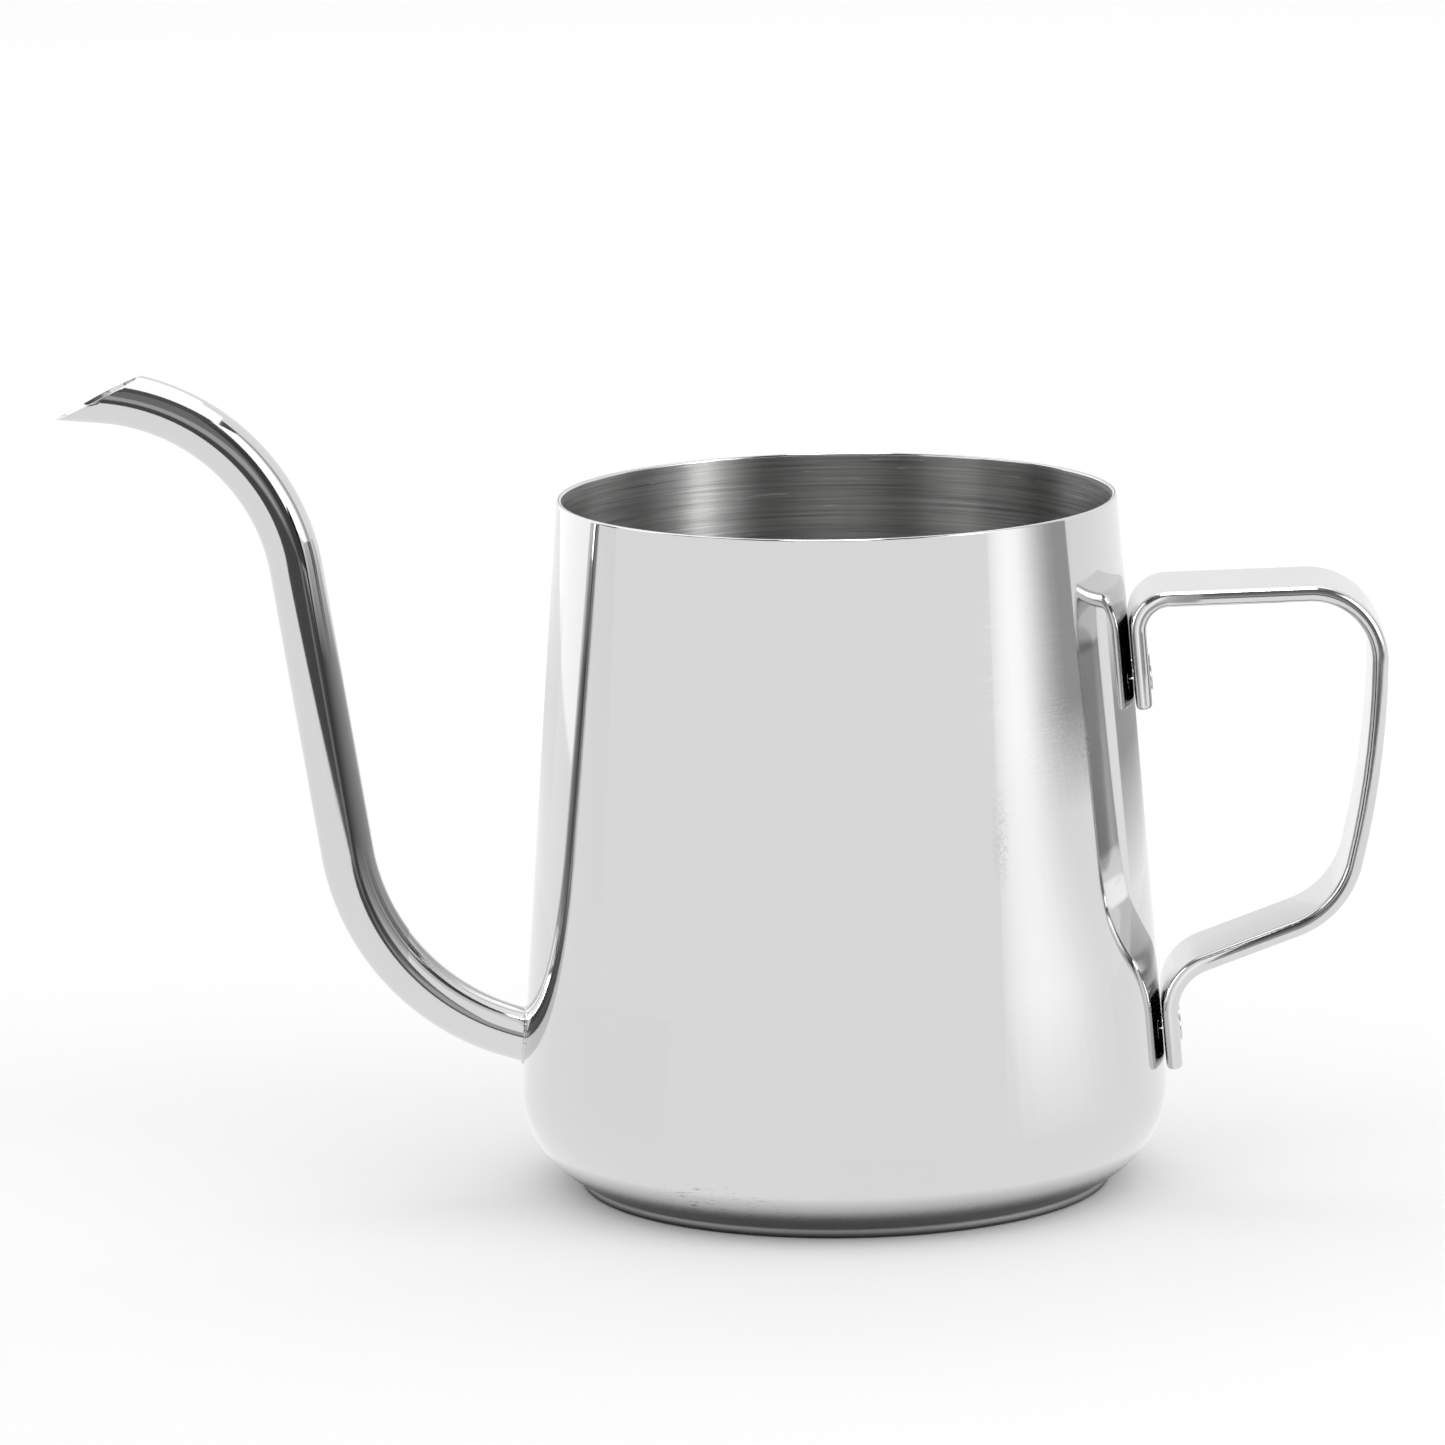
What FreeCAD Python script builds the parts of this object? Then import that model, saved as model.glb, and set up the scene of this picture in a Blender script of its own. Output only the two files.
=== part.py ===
import FreeCAD, Part
import math
import os
import Sketcher

# Gooseneck pouring kettle, millimetres, +Z up.
# The origin is the centre of the foot, on the table. The spout points to -X and the handle to +X.

# Driving dimensions: alias, value, what it measures.
DIMENSIONS = [
    ("kettle_height", 91.0, "table to rim"),
    ("mouth_radius", 36.5, "outside radius of the rim"),
    ("wall_angle", 4.35, "lean of the straight wall from vertical, degrees"),
    ("wall_thickness", 0.7, "sheet of the drawn shell"),
    ("corner_radius", 12.0, "outside rounding between wall and base"),
    ("foot_radius", 34.8, "outside radius of the pressed foot"),
    ("foot_step", 0.6, "lowest point of the corner rounding above the table"),
    ("foot_rounding", 0.5, "press radius at the edges of the foot"),
    ("panel_radius", 28.0, "inside edge of the ring that touches the table"),
    ("panel_rise", 0.6, "height of the pressed-in middle of the base"),
    ("panel_slope_run", 2.0, "width of the slope up to that middle"),
    ("rim_rounding", 0.3, "polished edge of the rim"),
    ("spout_diameter", 7.0, "outside diameter of the spout tube"),
    ("spout_wall", 0.5, "wall of the spout tube"),
    ("spout_root_height", 19.5, "height of the spout axis at the kettle wall"),
    ("spout_root_angle", 17.0, "climb of the spout where it leaves the wall, degrees"),
    ("spout_root_depth", 4.0, "spout axis drawn inside the wall, before trimming"),
    ("spout_root_run", 2.0, "straight length outside the wall"),
    ("spout_lower_bend", 30.1, "axis radius of the lower bend"),
    ("spout_riser_lean", 8.75, "lean of the straight riser from vertical, degrees"),
    ("spout_riser_length", 38.1, "straight length of the riser"),
    ("spout_upper_bend", 27.4, "axis radius of the upper bend"),
    ("spout_tip_angle", 4.8, "climb of the axis at the tip, degrees"),
    ("spout_tip_run", 10.0, "straight length at the tip, before the slanted cut"),
    ("tip_reach", 101.2, "pouring lip to the kettle axis"),
    ("tip_height", 102.3, "pouring lip above the table"),
    ("tip_cut_angle", 26.5, "slope of the cut across the tip, degrees"),
    ("tip_cut_length", 24.0, "length of the cutting line"),
    ("tip_cut_overrun", 6.0, "cutting line beyond the lip"),
    ("bead_radius", 0.5, "section radius of the weld bead at the spout root"),
    ("port_length", 12.0, "length of the drill that opens the wall to the spout"),
    ("strap_width", 17.0, "width of the handle strap"),
    ("strap_thickness", 2.1, "thickness of the handle strap"),
    ("strap_gap", 0.05, "strap to wall where they come closest"),
    ("strap_end_rounding", 0.7, "rounding round both ends of the strap"),
    ("upper_leg_end", 63.5, "lower end of the upper leg above the table"),
    ("lower_leg_end", 15.7, "lower end of the lower leg above the table"),
    ("upper_leg_bend", 4.1, "strap radius, upper leg to top bar"),
    ("top_bar_height", 78.0, "top bar above the table, where its bend ends"),
    ("top_bar_slope", 1.6, "climb of the top bar, degrees"),
    ("top_corner_bend", 9.0, "strap radius, top bar to grip"),
    ("grip_radius", 121.0, "gentle bow of the grip"),
    ("grip_reach", 70.3, "furthest point of the bow from the kettle axis"),
    ("grip_height", 71.6, "height of that point above the table"),
    ("lower_corner_bend", 12.2, "strap radius, grip to slanted bar"),
    ("slant_angle", 20.4, "climb of the slanted bar, degrees"),
    ("slant_height", 29.75, "lower end of the slanted bar above the table"),
    ("lower_leg_bend", 6.8, "strap radius, slanted bar to lower leg"),
    ("weld_diameter", 3.4, "one plug weld"),
    ("weld_spacing", 8.0, "between the two plug welds of a leg"),
    ("weld_crown", 0.3, "weld proud of the strap"),
    ("weld_rounding", 0.25, "rounded edge of the crown"),
    ("weld_depth", 4.0, "weld drawn from the strap's outside face inwards, before trimming"),
    ("upper_weld_height", 67.0, "upper pair of welds above the table"),
    ("lower_weld_height", 20.4, "lower pair of welds above the table"),
]

NODES = [
    "body_shell",
    "spout_tube",
    "spout_weld_bead",
    "handle_strap",
    "upper_handle_welds",
    "lower_handle_welds",
]

# How closely an edge or a face has to match when it is picked by its size.
LENGTH_TOLERANCE = 1e-3
AREA_TOLERANCE = 1e-2

# Ends of a line or an arc, and its centre, as sketch constraints count them.
START, END, CENTRE = 1, 2, 3
# The sketch origin and its axes, as sketch constraints count them.
ORIGIN, UPRIGHT_AXIS = -1, -2

doc = FreeCAD.newDocument("gooseneck_kettle")
sheet = doc.addObject("Spreadsheet::Sheet", "dims")
for row, (alias, value, meaning) in enumerate(DIMENSIONS, start=1):
    sheet.set(f"A{row}", meaning)
    sheet.set(f"B{row}", str(value))
    sheet.setAlias(f"B{row}", alias)
doc.recompute()


def size(alias):
    """The value of one driving dimension."""
    return float(sheet.get(alias))


def wall_radius(height):
    """Expression for the outside radius of the straight wall at a height."""
    return f"(dims.mouth_radius + (dims.kettle_height - {height}) * tan(dims.wall_angle * 1 deg))"


def wall_radius_value(height):
    """Outside radius of the straight wall at a height."""
    lean = math.tan(math.radians(size("wall_angle")))
    return size("mouth_radius") + (size("kettle_height") - height) * lean


def new_body(name):
    """A body with its own origin planes."""
    return doc.addObject("PartDesign::Body", name)


def new_sketch(body, name, plane="XZ_Plane"):
    """A sketch on one of the body's own origin planes."""
    sketch = body.newObject("Sketcher::SketchObject", name)
    support = next(item for item in body.Origin.OriginFeatures if item.Role == plane)
    sketch.AttachmentSupport = [(support, "")]
    sketch.MapMode = "FlatFace"
    return sketch


def dimension(sketch, name, expression, *constraint):
    """A named sketch dimension that follows the sheet."""
    index = sketch.addConstraint(Sketcher.Constraint(*constraint))
    sketch.renameConstraint(index, name)
    sketch.setExpression(f"Constraints.{name}", expression)


def relate(sketch, *constraint):
    """A sketch relation without a size."""
    sketch.addConstraint(Sketcher.Constraint(*constraint))


def circle_edges(shape, radius, height):
    """Names of the round edges about the kettle axis with a radius and a height."""
    found = []
    for number, edge in enumerate(shape.Edges, start=1):
        curve = edge.Curve
        if not isinstance(curve, Part.Circle):
            continue
        same_radius = abs(curve.Radius - radius) < LENGTH_TOLERANCE
        same_height = abs(curve.Center.z - height) < LENGTH_TOLERANCE
        if same_radius and same_height:
            found.append(f"Edge{number}")
    return found


def whole_chain(sketch):
    """Names of all the edges of a sketched path, in order."""
    return [f"Edge{number}" for number in range(1, len(sketch.Shape.Edges) + 1)]


class SketchPen:
    """Draws a chain of lines and arcs, each tangent to the one before it."""

    def __init__(self, sketch, x, z, heading):
        self.sketch = sketch
        self.at = FreeCAD.Vector(x, z, 0)
        self.heading = heading
        self.last = None

    def toward(self, degrees):
        """A unit vector at an angle from the sketch's X axis."""
        return FreeCAD.Vector(math.cos(math.radians(degrees)), math.sin(math.radians(degrees)), 0)

    def join(self, index, entry, leave):
        """Makes a new piece tangent to the chain."""
        if self.last is not None:
            relate(self.sketch, "Tangent", *self.last, index, entry)
        self.last = (index, leave)

    def line(self, length):
        """A straight run along the heading."""
        end = self.at + self.toward(self.heading) * length
        index = self.sketch.addGeometry(Part.LineSegment(self.at, end), False)
        self.join(index, START, END)
        self.at = end
        return index

    def arc(self, radius, turn):
        """A bend through an angle, anticlockwise when positive."""
        side = math.copysign(90.0, turn)
        centre = self.at + self.toward(self.heading + side) * radius
        entry = self.heading - side
        leave = entry + turn
        first, second = sorted((entry, leave))
        circle = Part.Circle(centre, FreeCAD.Vector(0, 0, 1), radius)
        bend = Part.ArcOfCircle(circle, math.radians(first), math.radians(second))
        index = self.sketch.addGeometry(bend, False)
        self.join(index, START if turn > 0 else END, END if turn > 0 else START)
        self.at = centre + self.toward(leave) * radius
        self.heading += turn
        return index


def place(item, x, y, z, angle):
    """Puts a primitive at a point and turns it about the Y axis, all given by expressions."""
    item.setExpression("Placement.Base.x", x)
    item.setExpression("Placement.Base.y", y)
    item.setExpression("Placement.Base.z", z)
    item.Placement.Rotation = FreeCAD.Rotation(FreeCAD.Vector(0, 1, 0), 0)
    item.setExpression("Placement.Rotation.Angle", angle)


def cut(name, base, tool):
    """One shape less another."""
    item = doc.addObject("Part::Cut", name)
    item.Base = base
    item.Tool = tool
    return item


# Body shell


def profile_line(sketch, first, second):
    """One straight line of the shell's half profile."""
    start = FreeCAD.Vector(first[0], first[1], 0)
    end = FreeCAD.Vector(second[0], second[1], 0)
    return sketch.addGeometry(Part.LineSegment(start, end), False)


def draw_outside(sketch):
    """The half profile of the outside: dished base, foot, corner rounding, straight wall, mouth."""
    height = size("kettle_height")
    mouth = size("mouth_radius")
    lean = math.radians(size("wall_angle"))
    corner = size("corner_radius")
    foot = size("foot_radius")
    panel = size("panel_radius")
    rise = size("panel_rise")
    middle = panel - size("panel_slope_run")
    centre_height = size("foot_step") + corner
    centre_radius = wall_radius_value(centre_height) - corner / math.cos(lean)
    drop = math.sqrt(corner ** 2 - (foot - centre_radius) ** 2)
    foot_top = centre_height - drop
    wall_foot = (centre_radius + corner * math.cos(lean), centre_height + corner * math.sin(lean))

    flat = profile_line(sketch, (0, rise), (middle, rise))
    slope = profile_line(sketch, (middle, rise), (panel, 0))
    ring = profile_line(sketch, (panel, 0), (foot, 0))
    riser = profile_line(sketch, (foot, 0), (foot, foot_top))
    circle = Part.Circle(
        FreeCAD.Vector(centre_radius, centre_height, 0), FreeCAD.Vector(0, 0, 1), corner
    )
    low_angle = math.atan2(foot_top - centre_height, foot - centre_radius)
    rounding = sketch.addGeometry(Part.ArcOfCircle(circle, low_angle, lean), False)
    wall = profile_line(sketch, wall_foot, (mouth, height))
    top = profile_line(sketch, (mouth, height), (0, height))
    axis = profile_line(sketch, (0, height), (0, rise))

    chain = [flat, slope, ring, riser, rounding]
    for before, after in zip(chain, chain[1:]):
        relate(sketch, "Coincident", before, END, after, START)
    relate(sketch, "Tangent", rounding, END, wall, START)
    closing = [wall, top, axis, flat]
    for before, after in zip(closing, closing[1:]):
        relate(sketch, "Coincident", before, END, after, START)
    for level in (flat, ring, top):
        relate(sketch, "Horizontal", level)
    relate(sketch, "Vertical", riser)
    relate(sketch, "PointOnObject", flat, START, UPRIGHT_AXIS)
    relate(sketch, "PointOnObject", top, END, UPRIGHT_AXIS)
    relate(sketch, "PointOnObject", ring, START, ORIGIN)
    dimension(sketch, "panel_rise", "dims.panel_rise",
              "DistanceY", ORIGIN, START, flat, START, rise)
    dimension(sketch, "panel_middle", "dims.panel_radius - dims.panel_slope_run",
              "DistanceX", ORIGIN, START, flat, END, middle)
    dimension(sketch, "panel_radius", "dims.panel_radius",
              "DistanceX", ORIGIN, START, ring, START, panel)
    dimension(sketch, "foot_radius", "dims.foot_radius",
              "DistanceX", ORIGIN, START, ring, END, foot)
    dimension(sketch, "corner_height", "dims.foot_step + dims.corner_radius",
              "DistanceY", ORIGIN, START, rounding, CENTRE, centre_height)
    dimension(sketch, "corner_radius", "dims.corner_radius", "Radius", rounding, corner)
    dimension(sketch, "wall_heading", "90 + dims.wall_angle",
              "Angle", wall, math.pi / 2 + lean)
    dimension(sketch, "mouth_radius", "dims.mouth_radius",
              "DistanceX", ORIGIN, START, wall, END, mouth)
    dimension(sketch, "kettle_height", "dims.kettle_height",
              "DistanceY", ORIGIN, START, wall, END, height)
    return foot_top


def make_body_shell():
    """The drawn shell: an outside turned about the axis, hollowed to the sheet's thickness."""
    body = new_body("shell_blank")
    outside = new_sketch(body, "outside_profile")
    foot_top = draw_outside(outside)
    turned = body.newObject("PartDesign::Revolution", "turned_outside")
    turned.Profile = outside
    turned.ReferenceAxis = (outside, ["V_Axis"])
    turned.Angle = 360
    doc.recompute()

    pressed = body.newObject("PartDesign::Fillet", "pressed_foot")
    foot_edges = circle_edges(turned.Shape, size("foot_radius"), 0)
    foot_edges += circle_edges(turned.Shape, size("foot_radius"), foot_top)
    pressed.Base = (turned, foot_edges)
    pressed.setExpression("Radius", "dims.foot_rounding")
    doc.recompute()

    hollow = body.newObject("PartDesign::Thickness", "hollow_shell")
    faces = pressed.Shape.Faces
    mouth_face = max(range(len(faces)), key=lambda number: faces[number].CenterOfMass.z)
    hollow.Base = (pressed, [f"Face{mouth_face + 1}"])
    hollow.setExpression("Value", "dims.wall_thickness")
    hollow.Join = "Intersection"
    hollow.Reversed = True
    doc.recompute()

    rim = body.newObject("PartDesign::Fillet", "polished_rim")
    top = [
        f"Edge{number}"
        for number, edge in enumerate(hollow.Shape.Edges, start=1)
        if edge.BoundBox.ZMin > size("kettle_height") - LENGTH_TOLERANCE
    ]
    rim.Base = (hollow, top)
    rim.setExpression("Radius", "dims.rim_rounding")
    doc.recompute()

    drill = doc.addObject("Part::Cylinder", "port_drill")
    drill.setExpression("Radius", "dims.spout_diameter / 2 - dims.spout_wall")
    drill.setExpression("Height", "dims.port_length")
    inward = "dims.port_length / 2 * cos(dims.spout_root_angle * 1 deg)"
    downward = "dims.port_length / 2 * sin(dims.spout_root_angle * 1 deg)"
    place(
        drill,
        f"{inward} - {wall_radius('dims.spout_root_height')}",
        "0",
        f"dims.spout_root_height - {downward}",
        "dims.spout_root_angle - 90",
    )
    return cut("body_shell", body, drill)


def make_wall_cone():
    """The straight wall's outside as a solid cone, which trims what is welded to it."""
    cone = doc.addObject("Part::Cone", "wall_cone")
    cone.setExpression("Radius1", wall_radius("0"))
    cone.setExpression("Radius2", "dims.mouth_radius")
    cone.setExpression("Height", "dims.kettle_height")
    return cone


# Spout


def draw_spout_axis(sketch):
    """The bent tube's axis: root run, lower bend, riser, upper bend, tip run."""
    depth = size("spout_root_depth")
    climb = size("spout_root_angle")
    root_radius = wall_radius_value(size("spout_root_height"))
    inner_x = depth * math.cos(math.radians(climb)) - root_radius
    inner_z = size("spout_root_height") - depth * math.sin(math.radians(climb))
    root_heading = 180.0 - climb
    riser_heading = 90.0 + size("spout_riser_lean")
    tip_heading = 180.0 - size("spout_tip_angle")
    pen = SketchPen(sketch, inner_x, inner_z, root_heading)
    root = pen.line(depth + size("spout_root_run"))
    lower = pen.arc(size("spout_lower_bend"), riser_heading - root_heading)
    riser = pen.line(size("spout_riser_length"))
    upper = pen.arc(size("spout_upper_bend"), tip_heading - riser_heading)
    tip = pen.line(size("spout_tip_run"))

    inward = "dims.spout_root_depth * cos(dims.spout_root_angle * 1 deg)"
    downward = "dims.spout_root_depth * sin(dims.spout_root_angle * 1 deg)"
    dimension(sketch, "root_start_x", f"{wall_radius('dims.spout_root_height')} - {inward}",
              "DistanceX", root, START, ORIGIN, START, -inner_x)
    dimension(sketch, "root_start_z", f"dims.spout_root_height - {downward}",
              "DistanceY", ORIGIN, START, root, START, inner_z)
    dimension(sketch, "root_length", "dims.spout_root_depth + dims.spout_root_run",
              "Distance", root, depth + size("spout_root_run"))
    dimension(sketch, "root_heading", "180 - dims.spout_root_angle",
              "Angle", root, math.radians(root_heading))
    dimension(sketch, "lower_bend", "dims.spout_lower_bend",
              "Radius", lower, size("spout_lower_bend"))
    dimension(sketch, "riser_heading", "90 + dims.spout_riser_lean",
              "Angle", riser, math.radians(riser_heading))
    dimension(sketch, "riser_length", "dims.spout_riser_length",
              "Distance", riser, size("spout_riser_length"))
    dimension(sketch, "upper_bend", "dims.spout_upper_bend",
              "Radius", upper, size("spout_upper_bend"))
    dimension(sketch, "tip_heading", "180 - dims.spout_tip_angle",
              "Angle", tip, math.radians(tip_heading))
    dimension(sketch, "tip_length", "dims.spout_tip_run", "Distance", tip, size("spout_tip_run"))


def draw_ring(sketch):
    """The tube's section: its outside and its bore."""
    outside = size("spout_diameter") / 2
    bore = outside - size("spout_wall")
    middle = FreeCAD.Vector(0, 0, 0)
    up = FreeCAD.Vector(0, 0, 1)
    outer = sketch.addGeometry(Part.Circle(middle, up, outside), False)
    inner = sketch.addGeometry(Part.Circle(middle, up, bore), False)
    for circle in (outer, inner):
        relate(sketch, "Coincident", circle, CENTRE, ORIGIN, START)
    dimension(sketch, "outside_radius", "dims.spout_diameter / 2", "Radius", outer, outside)
    dimension(sketch, "bore_radius", "dims.spout_diameter / 2 - dims.spout_wall",
              "Radius", inner, bore)


def draw_tip_cut(sketch):
    """A triangle above the cutting line, which takes the end of the tube off at a slant."""
    slope = math.radians(size("tip_cut_angle"))
    along = FreeCAD.Vector(math.cos(slope), math.sin(slope), 0)
    lip = FreeCAD.Vector(-size("tip_reach"), size("tip_height"), 0)
    low = lip - along * size("tip_cut_overrun")
    high = low + along * size("tip_cut_length")
    corner = FreeCAD.Vector(low.x, high.y, 0)
    edge = sketch.addGeometry(Part.LineSegment(low, high), False)
    top = sketch.addGeometry(Part.LineSegment(high, corner), False)
    side = sketch.addGeometry(Part.LineSegment(corner, low), False)
    loop = [edge, top, side, edge]
    for before, after in zip(loop, loop[1:]):
        relate(sketch, "Coincident", before, END, after, START)
    relate(sketch, "Horizontal", top)
    relate(sketch, "Vertical", side)
    over_x = "dims.tip_cut_overrun * cos(dims.tip_cut_angle * 1 deg)"
    over_z = "dims.tip_cut_overrun * sin(dims.tip_cut_angle * 1 deg)"
    dimension(sketch, "cut_start_x", f"dims.tip_reach + {over_x}",
              "DistanceX", edge, START, ORIGIN, START, -low.x)
    dimension(sketch, "cut_start_z", f"dims.tip_height - {over_z}",
              "DistanceY", ORIGIN, START, edge, START, low.y)
    dimension(sketch, "cut_angle", "dims.tip_cut_angle", "Angle", edge, slope)
    dimension(sketch, "cut_length", "dims.tip_cut_length",
              "Distance", edge, size("tip_cut_length"))


def make_spout_tube(wall_cone):
    """The gooseneck: one bent tube, cut at a slant at the tip and to the wall at its root."""
    body = new_body("spout_blank")
    axis = new_sketch(body, "spout_axis")
    draw_spout_axis(axis)
    doc.recompute()
    ring = body.newObject("Sketcher::SketchObject", "spout_section")
    ring.AttachmentSupport = [(axis, "Edge1")]
    ring.MapMode = "NormalToEdge"
    draw_ring(ring)
    doc.recompute()
    tube = body.newObject("PartDesign::AdditivePipe", "bent_tube")
    tube.Profile = ring
    tube.Spine = (axis, whole_chain(axis))
    doc.recompute()
    slant = new_sketch(body, "tip_cut")
    draw_tip_cut(slant)
    trimmed = body.newObject("PartDesign::Pocket", "slanted_tip")
    trimmed.Profile = slant
    trimmed.Type = "ThroughAll"
    trimmed.Midplane = True
    doc.recompute()
    if trimmed.Shape.Volume >= tube.Shape.Volume:
        raise RuntimeError("the slanted cut missed the spout tip")
    return cut("spout_tube", body, wall_cone)


def make_spout_weld_bead(wall_cone):
    """The bead that joins the spout to the wall: a ring about the root, trimmed to both."""
    ring = doc.addObject("Part::Torus", "bead_ring")
    ring.setExpression("Radius1", "dims.spout_diameter / 2")
    ring.setExpression("Radius2", "dims.bead_radius")
    root_x = f"-1 * {wall_radius('dims.spout_root_height')}"
    place(ring, root_x, "0", "dims.spout_root_height", "dims.wall_angle - 90")
    core = doc.addObject("Part::Cylinder", "spout_root_core")
    core.setExpression("Radius", "dims.spout_diameter / 2")
    core.setExpression("Height", "dims.spout_root_depth + dims.spout_root_run")
    inward = "dims.spout_root_depth * cos(dims.spout_root_angle * 1 deg)"
    downward = "dims.spout_root_depth * sin(dims.spout_root_angle * 1 deg)"
    place(
        core,
        f"{inward} - {wall_radius('dims.spout_root_height')}",
        "0",
        f"dims.spout_root_height - {downward}",
        "dims.spout_root_angle - 90",
    )
    outside_wall = cut("bead_outside_wall", ring, wall_cone)
    return cut("spout_weld_bead", outside_wall, core)


# Handle


def leg_offset():
    """Expression for the strap's middle line outside the wall, measured along X."""
    return "((dims.strap_gap + dims.strap_thickness / 2) / cos(dims.wall_angle * 1 deg))"


def leg_offset_value():
    """The strap's middle line outside the wall, measured along X."""
    lean = math.radians(size("wall_angle"))
    return (size("strap_gap") + size("strap_thickness") / 2) / math.cos(lean)


def draw_strap_line(sketch):
    """The strap's middle line: upper leg, top bar, bowed grip, slanted bar, lower leg."""
    leg_heading = 90.0 + size("wall_angle")
    bar_heading = size("top_bar_slope")
    slant_heading = 180.0 + size("slant_angle")
    start_x = wall_radius_value(size("upper_leg_end")) + leg_offset_value()
    end_x = wall_radius_value(size("lower_leg_end")) + leg_offset_value()

    # First guesses for the lengths and turns that the other dimensions settle.
    leg_guess = size("top_bar_height") - size("upper_leg_end") - size("upper_leg_bend")
    bar_guess = size("grip_reach") - start_x - size("upper_leg_bend") - size("top_corner_bend")
    grip_drop = size("top_bar_height") - size("top_corner_bend") - size("grip_height")
    grip_top = math.degrees(math.asin(grip_drop / size("grip_radius")))
    grip_span = size("grip_height") - size("slant_height") - 2 * size("lower_corner_bend")
    grip_foot = -math.degrees(math.asin(grip_span / size("grip_radius")))
    slant_guess = size("grip_reach") - end_x - size("lower_corner_bend") - size("lower_leg_bend")
    foot_guess = size("slant_height") - size("lower_leg_end") - size("lower_leg_bend")

    pen = SketchPen(sketch, start_x, size("upper_leg_end"), leg_heading)
    upper_leg = pen.line(leg_guess)
    upper_bend = pen.arc(size("upper_leg_bend"), bar_heading - leg_heading)
    top_bar = pen.line(bar_guess)
    top_corner = pen.arc(size("top_corner_bend"), grip_top - 90.0 - bar_heading)
    grip = pen.arc(size("grip_radius"), grip_foot - grip_top)
    low_corner = pen.arc(size("lower_corner_bend"), slant_heading - 270.0 - grip_foot)
    slant = pen.line(slant_guess)
    lower_bend = pen.arc(size("lower_leg_bend"), 90.0 - size("slant_angle") + size("wall_angle"))
    lower_leg = pen.line(foot_guess)

    dimension(sketch, "upper_end_x", f"{wall_radius('dims.upper_leg_end')} + {leg_offset()}",
              "DistanceX", ORIGIN, START, upper_leg, START, start_x)
    dimension(sketch, "upper_end_z", "dims.upper_leg_end",
              "DistanceY", ORIGIN, START, upper_leg, START, size("upper_leg_end"))
    dimension(sketch, "upper_leg_heading", "90 + dims.wall_angle",
              "Angle", upper_leg, math.radians(leg_heading))
    dimension(sketch, "upper_bend", "dims.upper_leg_bend",
              "Radius", upper_bend, size("upper_leg_bend"))
    dimension(sketch, "top_bar_heading", "dims.top_bar_slope",
              "Angle", top_bar, math.radians(bar_heading))
    dimension(sketch, "top_bar_height", "dims.top_bar_height",
              "DistanceY", ORIGIN, START, top_bar, START, size("top_bar_height"))
    dimension(sketch, "top_corner", "dims.top_corner_bend",
              "Radius", top_corner, size("top_corner_bend"))
    dimension(sketch, "grip_radius", "dims.grip_radius", "Radius", grip, size("grip_radius"))
    dimension(sketch, "grip_centre_x", "dims.grip_radius - dims.grip_reach",
              "DistanceX", grip, CENTRE, ORIGIN, START, size("grip_radius") - size("grip_reach"))
    dimension(sketch, "grip_centre_z", "dims.grip_height",
              "DistanceY", ORIGIN, START, grip, CENTRE, size("grip_height"))
    dimension(sketch, "low_corner", "dims.lower_corner_bend",
              "Radius", low_corner, size("lower_corner_bend"))
    dimension(sketch, "slant_heading", "dims.slant_angle - 180",
              "Angle", slant, math.radians(size("slant_angle") - 180.0))
    dimension(sketch, "slant_height", "dims.slant_height",
              "DistanceY", ORIGIN, START, slant, END, size("slant_height"))
    dimension(sketch, "lower_bend", "dims.lower_leg_bend",
              "Radius", lower_bend, size("lower_leg_bend"))
    dimension(sketch, "lower_leg_heading", "dims.wall_angle - 90",
              "Angle", lower_leg, math.radians(size("wall_angle") - 90.0))
    dimension(sketch, "lower_end_x", f"{wall_radius('dims.lower_leg_end')} + {leg_offset()}",
              "DistanceX", ORIGIN, START, lower_leg, END, end_x)
    dimension(sketch, "lower_end_z", "dims.lower_leg_end",
              "DistanceY", ORIGIN, START, lower_leg, END, size("lower_leg_end"))


def draw_strap_section(sketch):
    """The strap's section: a flat bar with half-round edges."""
    edge = size("strap_thickness") / 2
    flat = size("strap_width") / 2 - edge
    up = FreeCAD.Vector(0, 0, 1)
    quarter = math.pi / 2
    right_round = Part.Circle(FreeCAD.Vector(flat, 0, 0), up, edge)
    left_round = Part.Circle(FreeCAD.Vector(-flat, 0, 0), up, edge)
    right = sketch.addGeometry(Part.ArcOfCircle(right_round, -quarter, quarter), False)
    top = sketch.addGeometry(
        Part.LineSegment(FreeCAD.Vector(flat, edge, 0), FreeCAD.Vector(-flat, edge, 0)), False
    )
    left = sketch.addGeometry(Part.ArcOfCircle(left_round, quarter, 3 * quarter), False)
    bottom = sketch.addGeometry(
        Part.LineSegment(FreeCAD.Vector(-flat, -edge, 0), FreeCAD.Vector(flat, -edge, 0)), False
    )
    loop = [right, top, left, bottom, right]
    for before, after in zip(loop, loop[1:]):
        relate(sketch, "Tangent", before, END, after, START)
    relate(sketch, "Horizontal", top)
    relate(sketch, "PointOnObject", right, CENTRE, ORIGIN)
    relate(sketch, "Symmetric", right, CENTRE, left, CENTRE, ORIGIN, START)
    dimension(sketch, "edge_radius", "dims.strap_thickness / 2", "Radius", right, edge)
    dimension(sketch, "edge_centre", "(dims.strap_width - dims.strap_thickness) / 2",
              "DistanceX", ORIGIN, START, right, CENTRE, flat)


def strap_end_edges(shape):
    """Names of the edges round the two cut ends of the strap."""
    edge = size("strap_thickness") / 2
    section_area = 2 * edge * (size("strap_width") - 2 * edge) + math.pi * edge ** 2
    names = []
    for face in shape.Faces:
        if abs(face.Area - section_area) > AREA_TOLERANCE:
            continue
        for number, candidate in enumerate(shape.Edges, start=1):
            if any(candidate.isSame(other) for other in face.Edges):
                names.append(f"Edge{number}")
    return names


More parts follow.
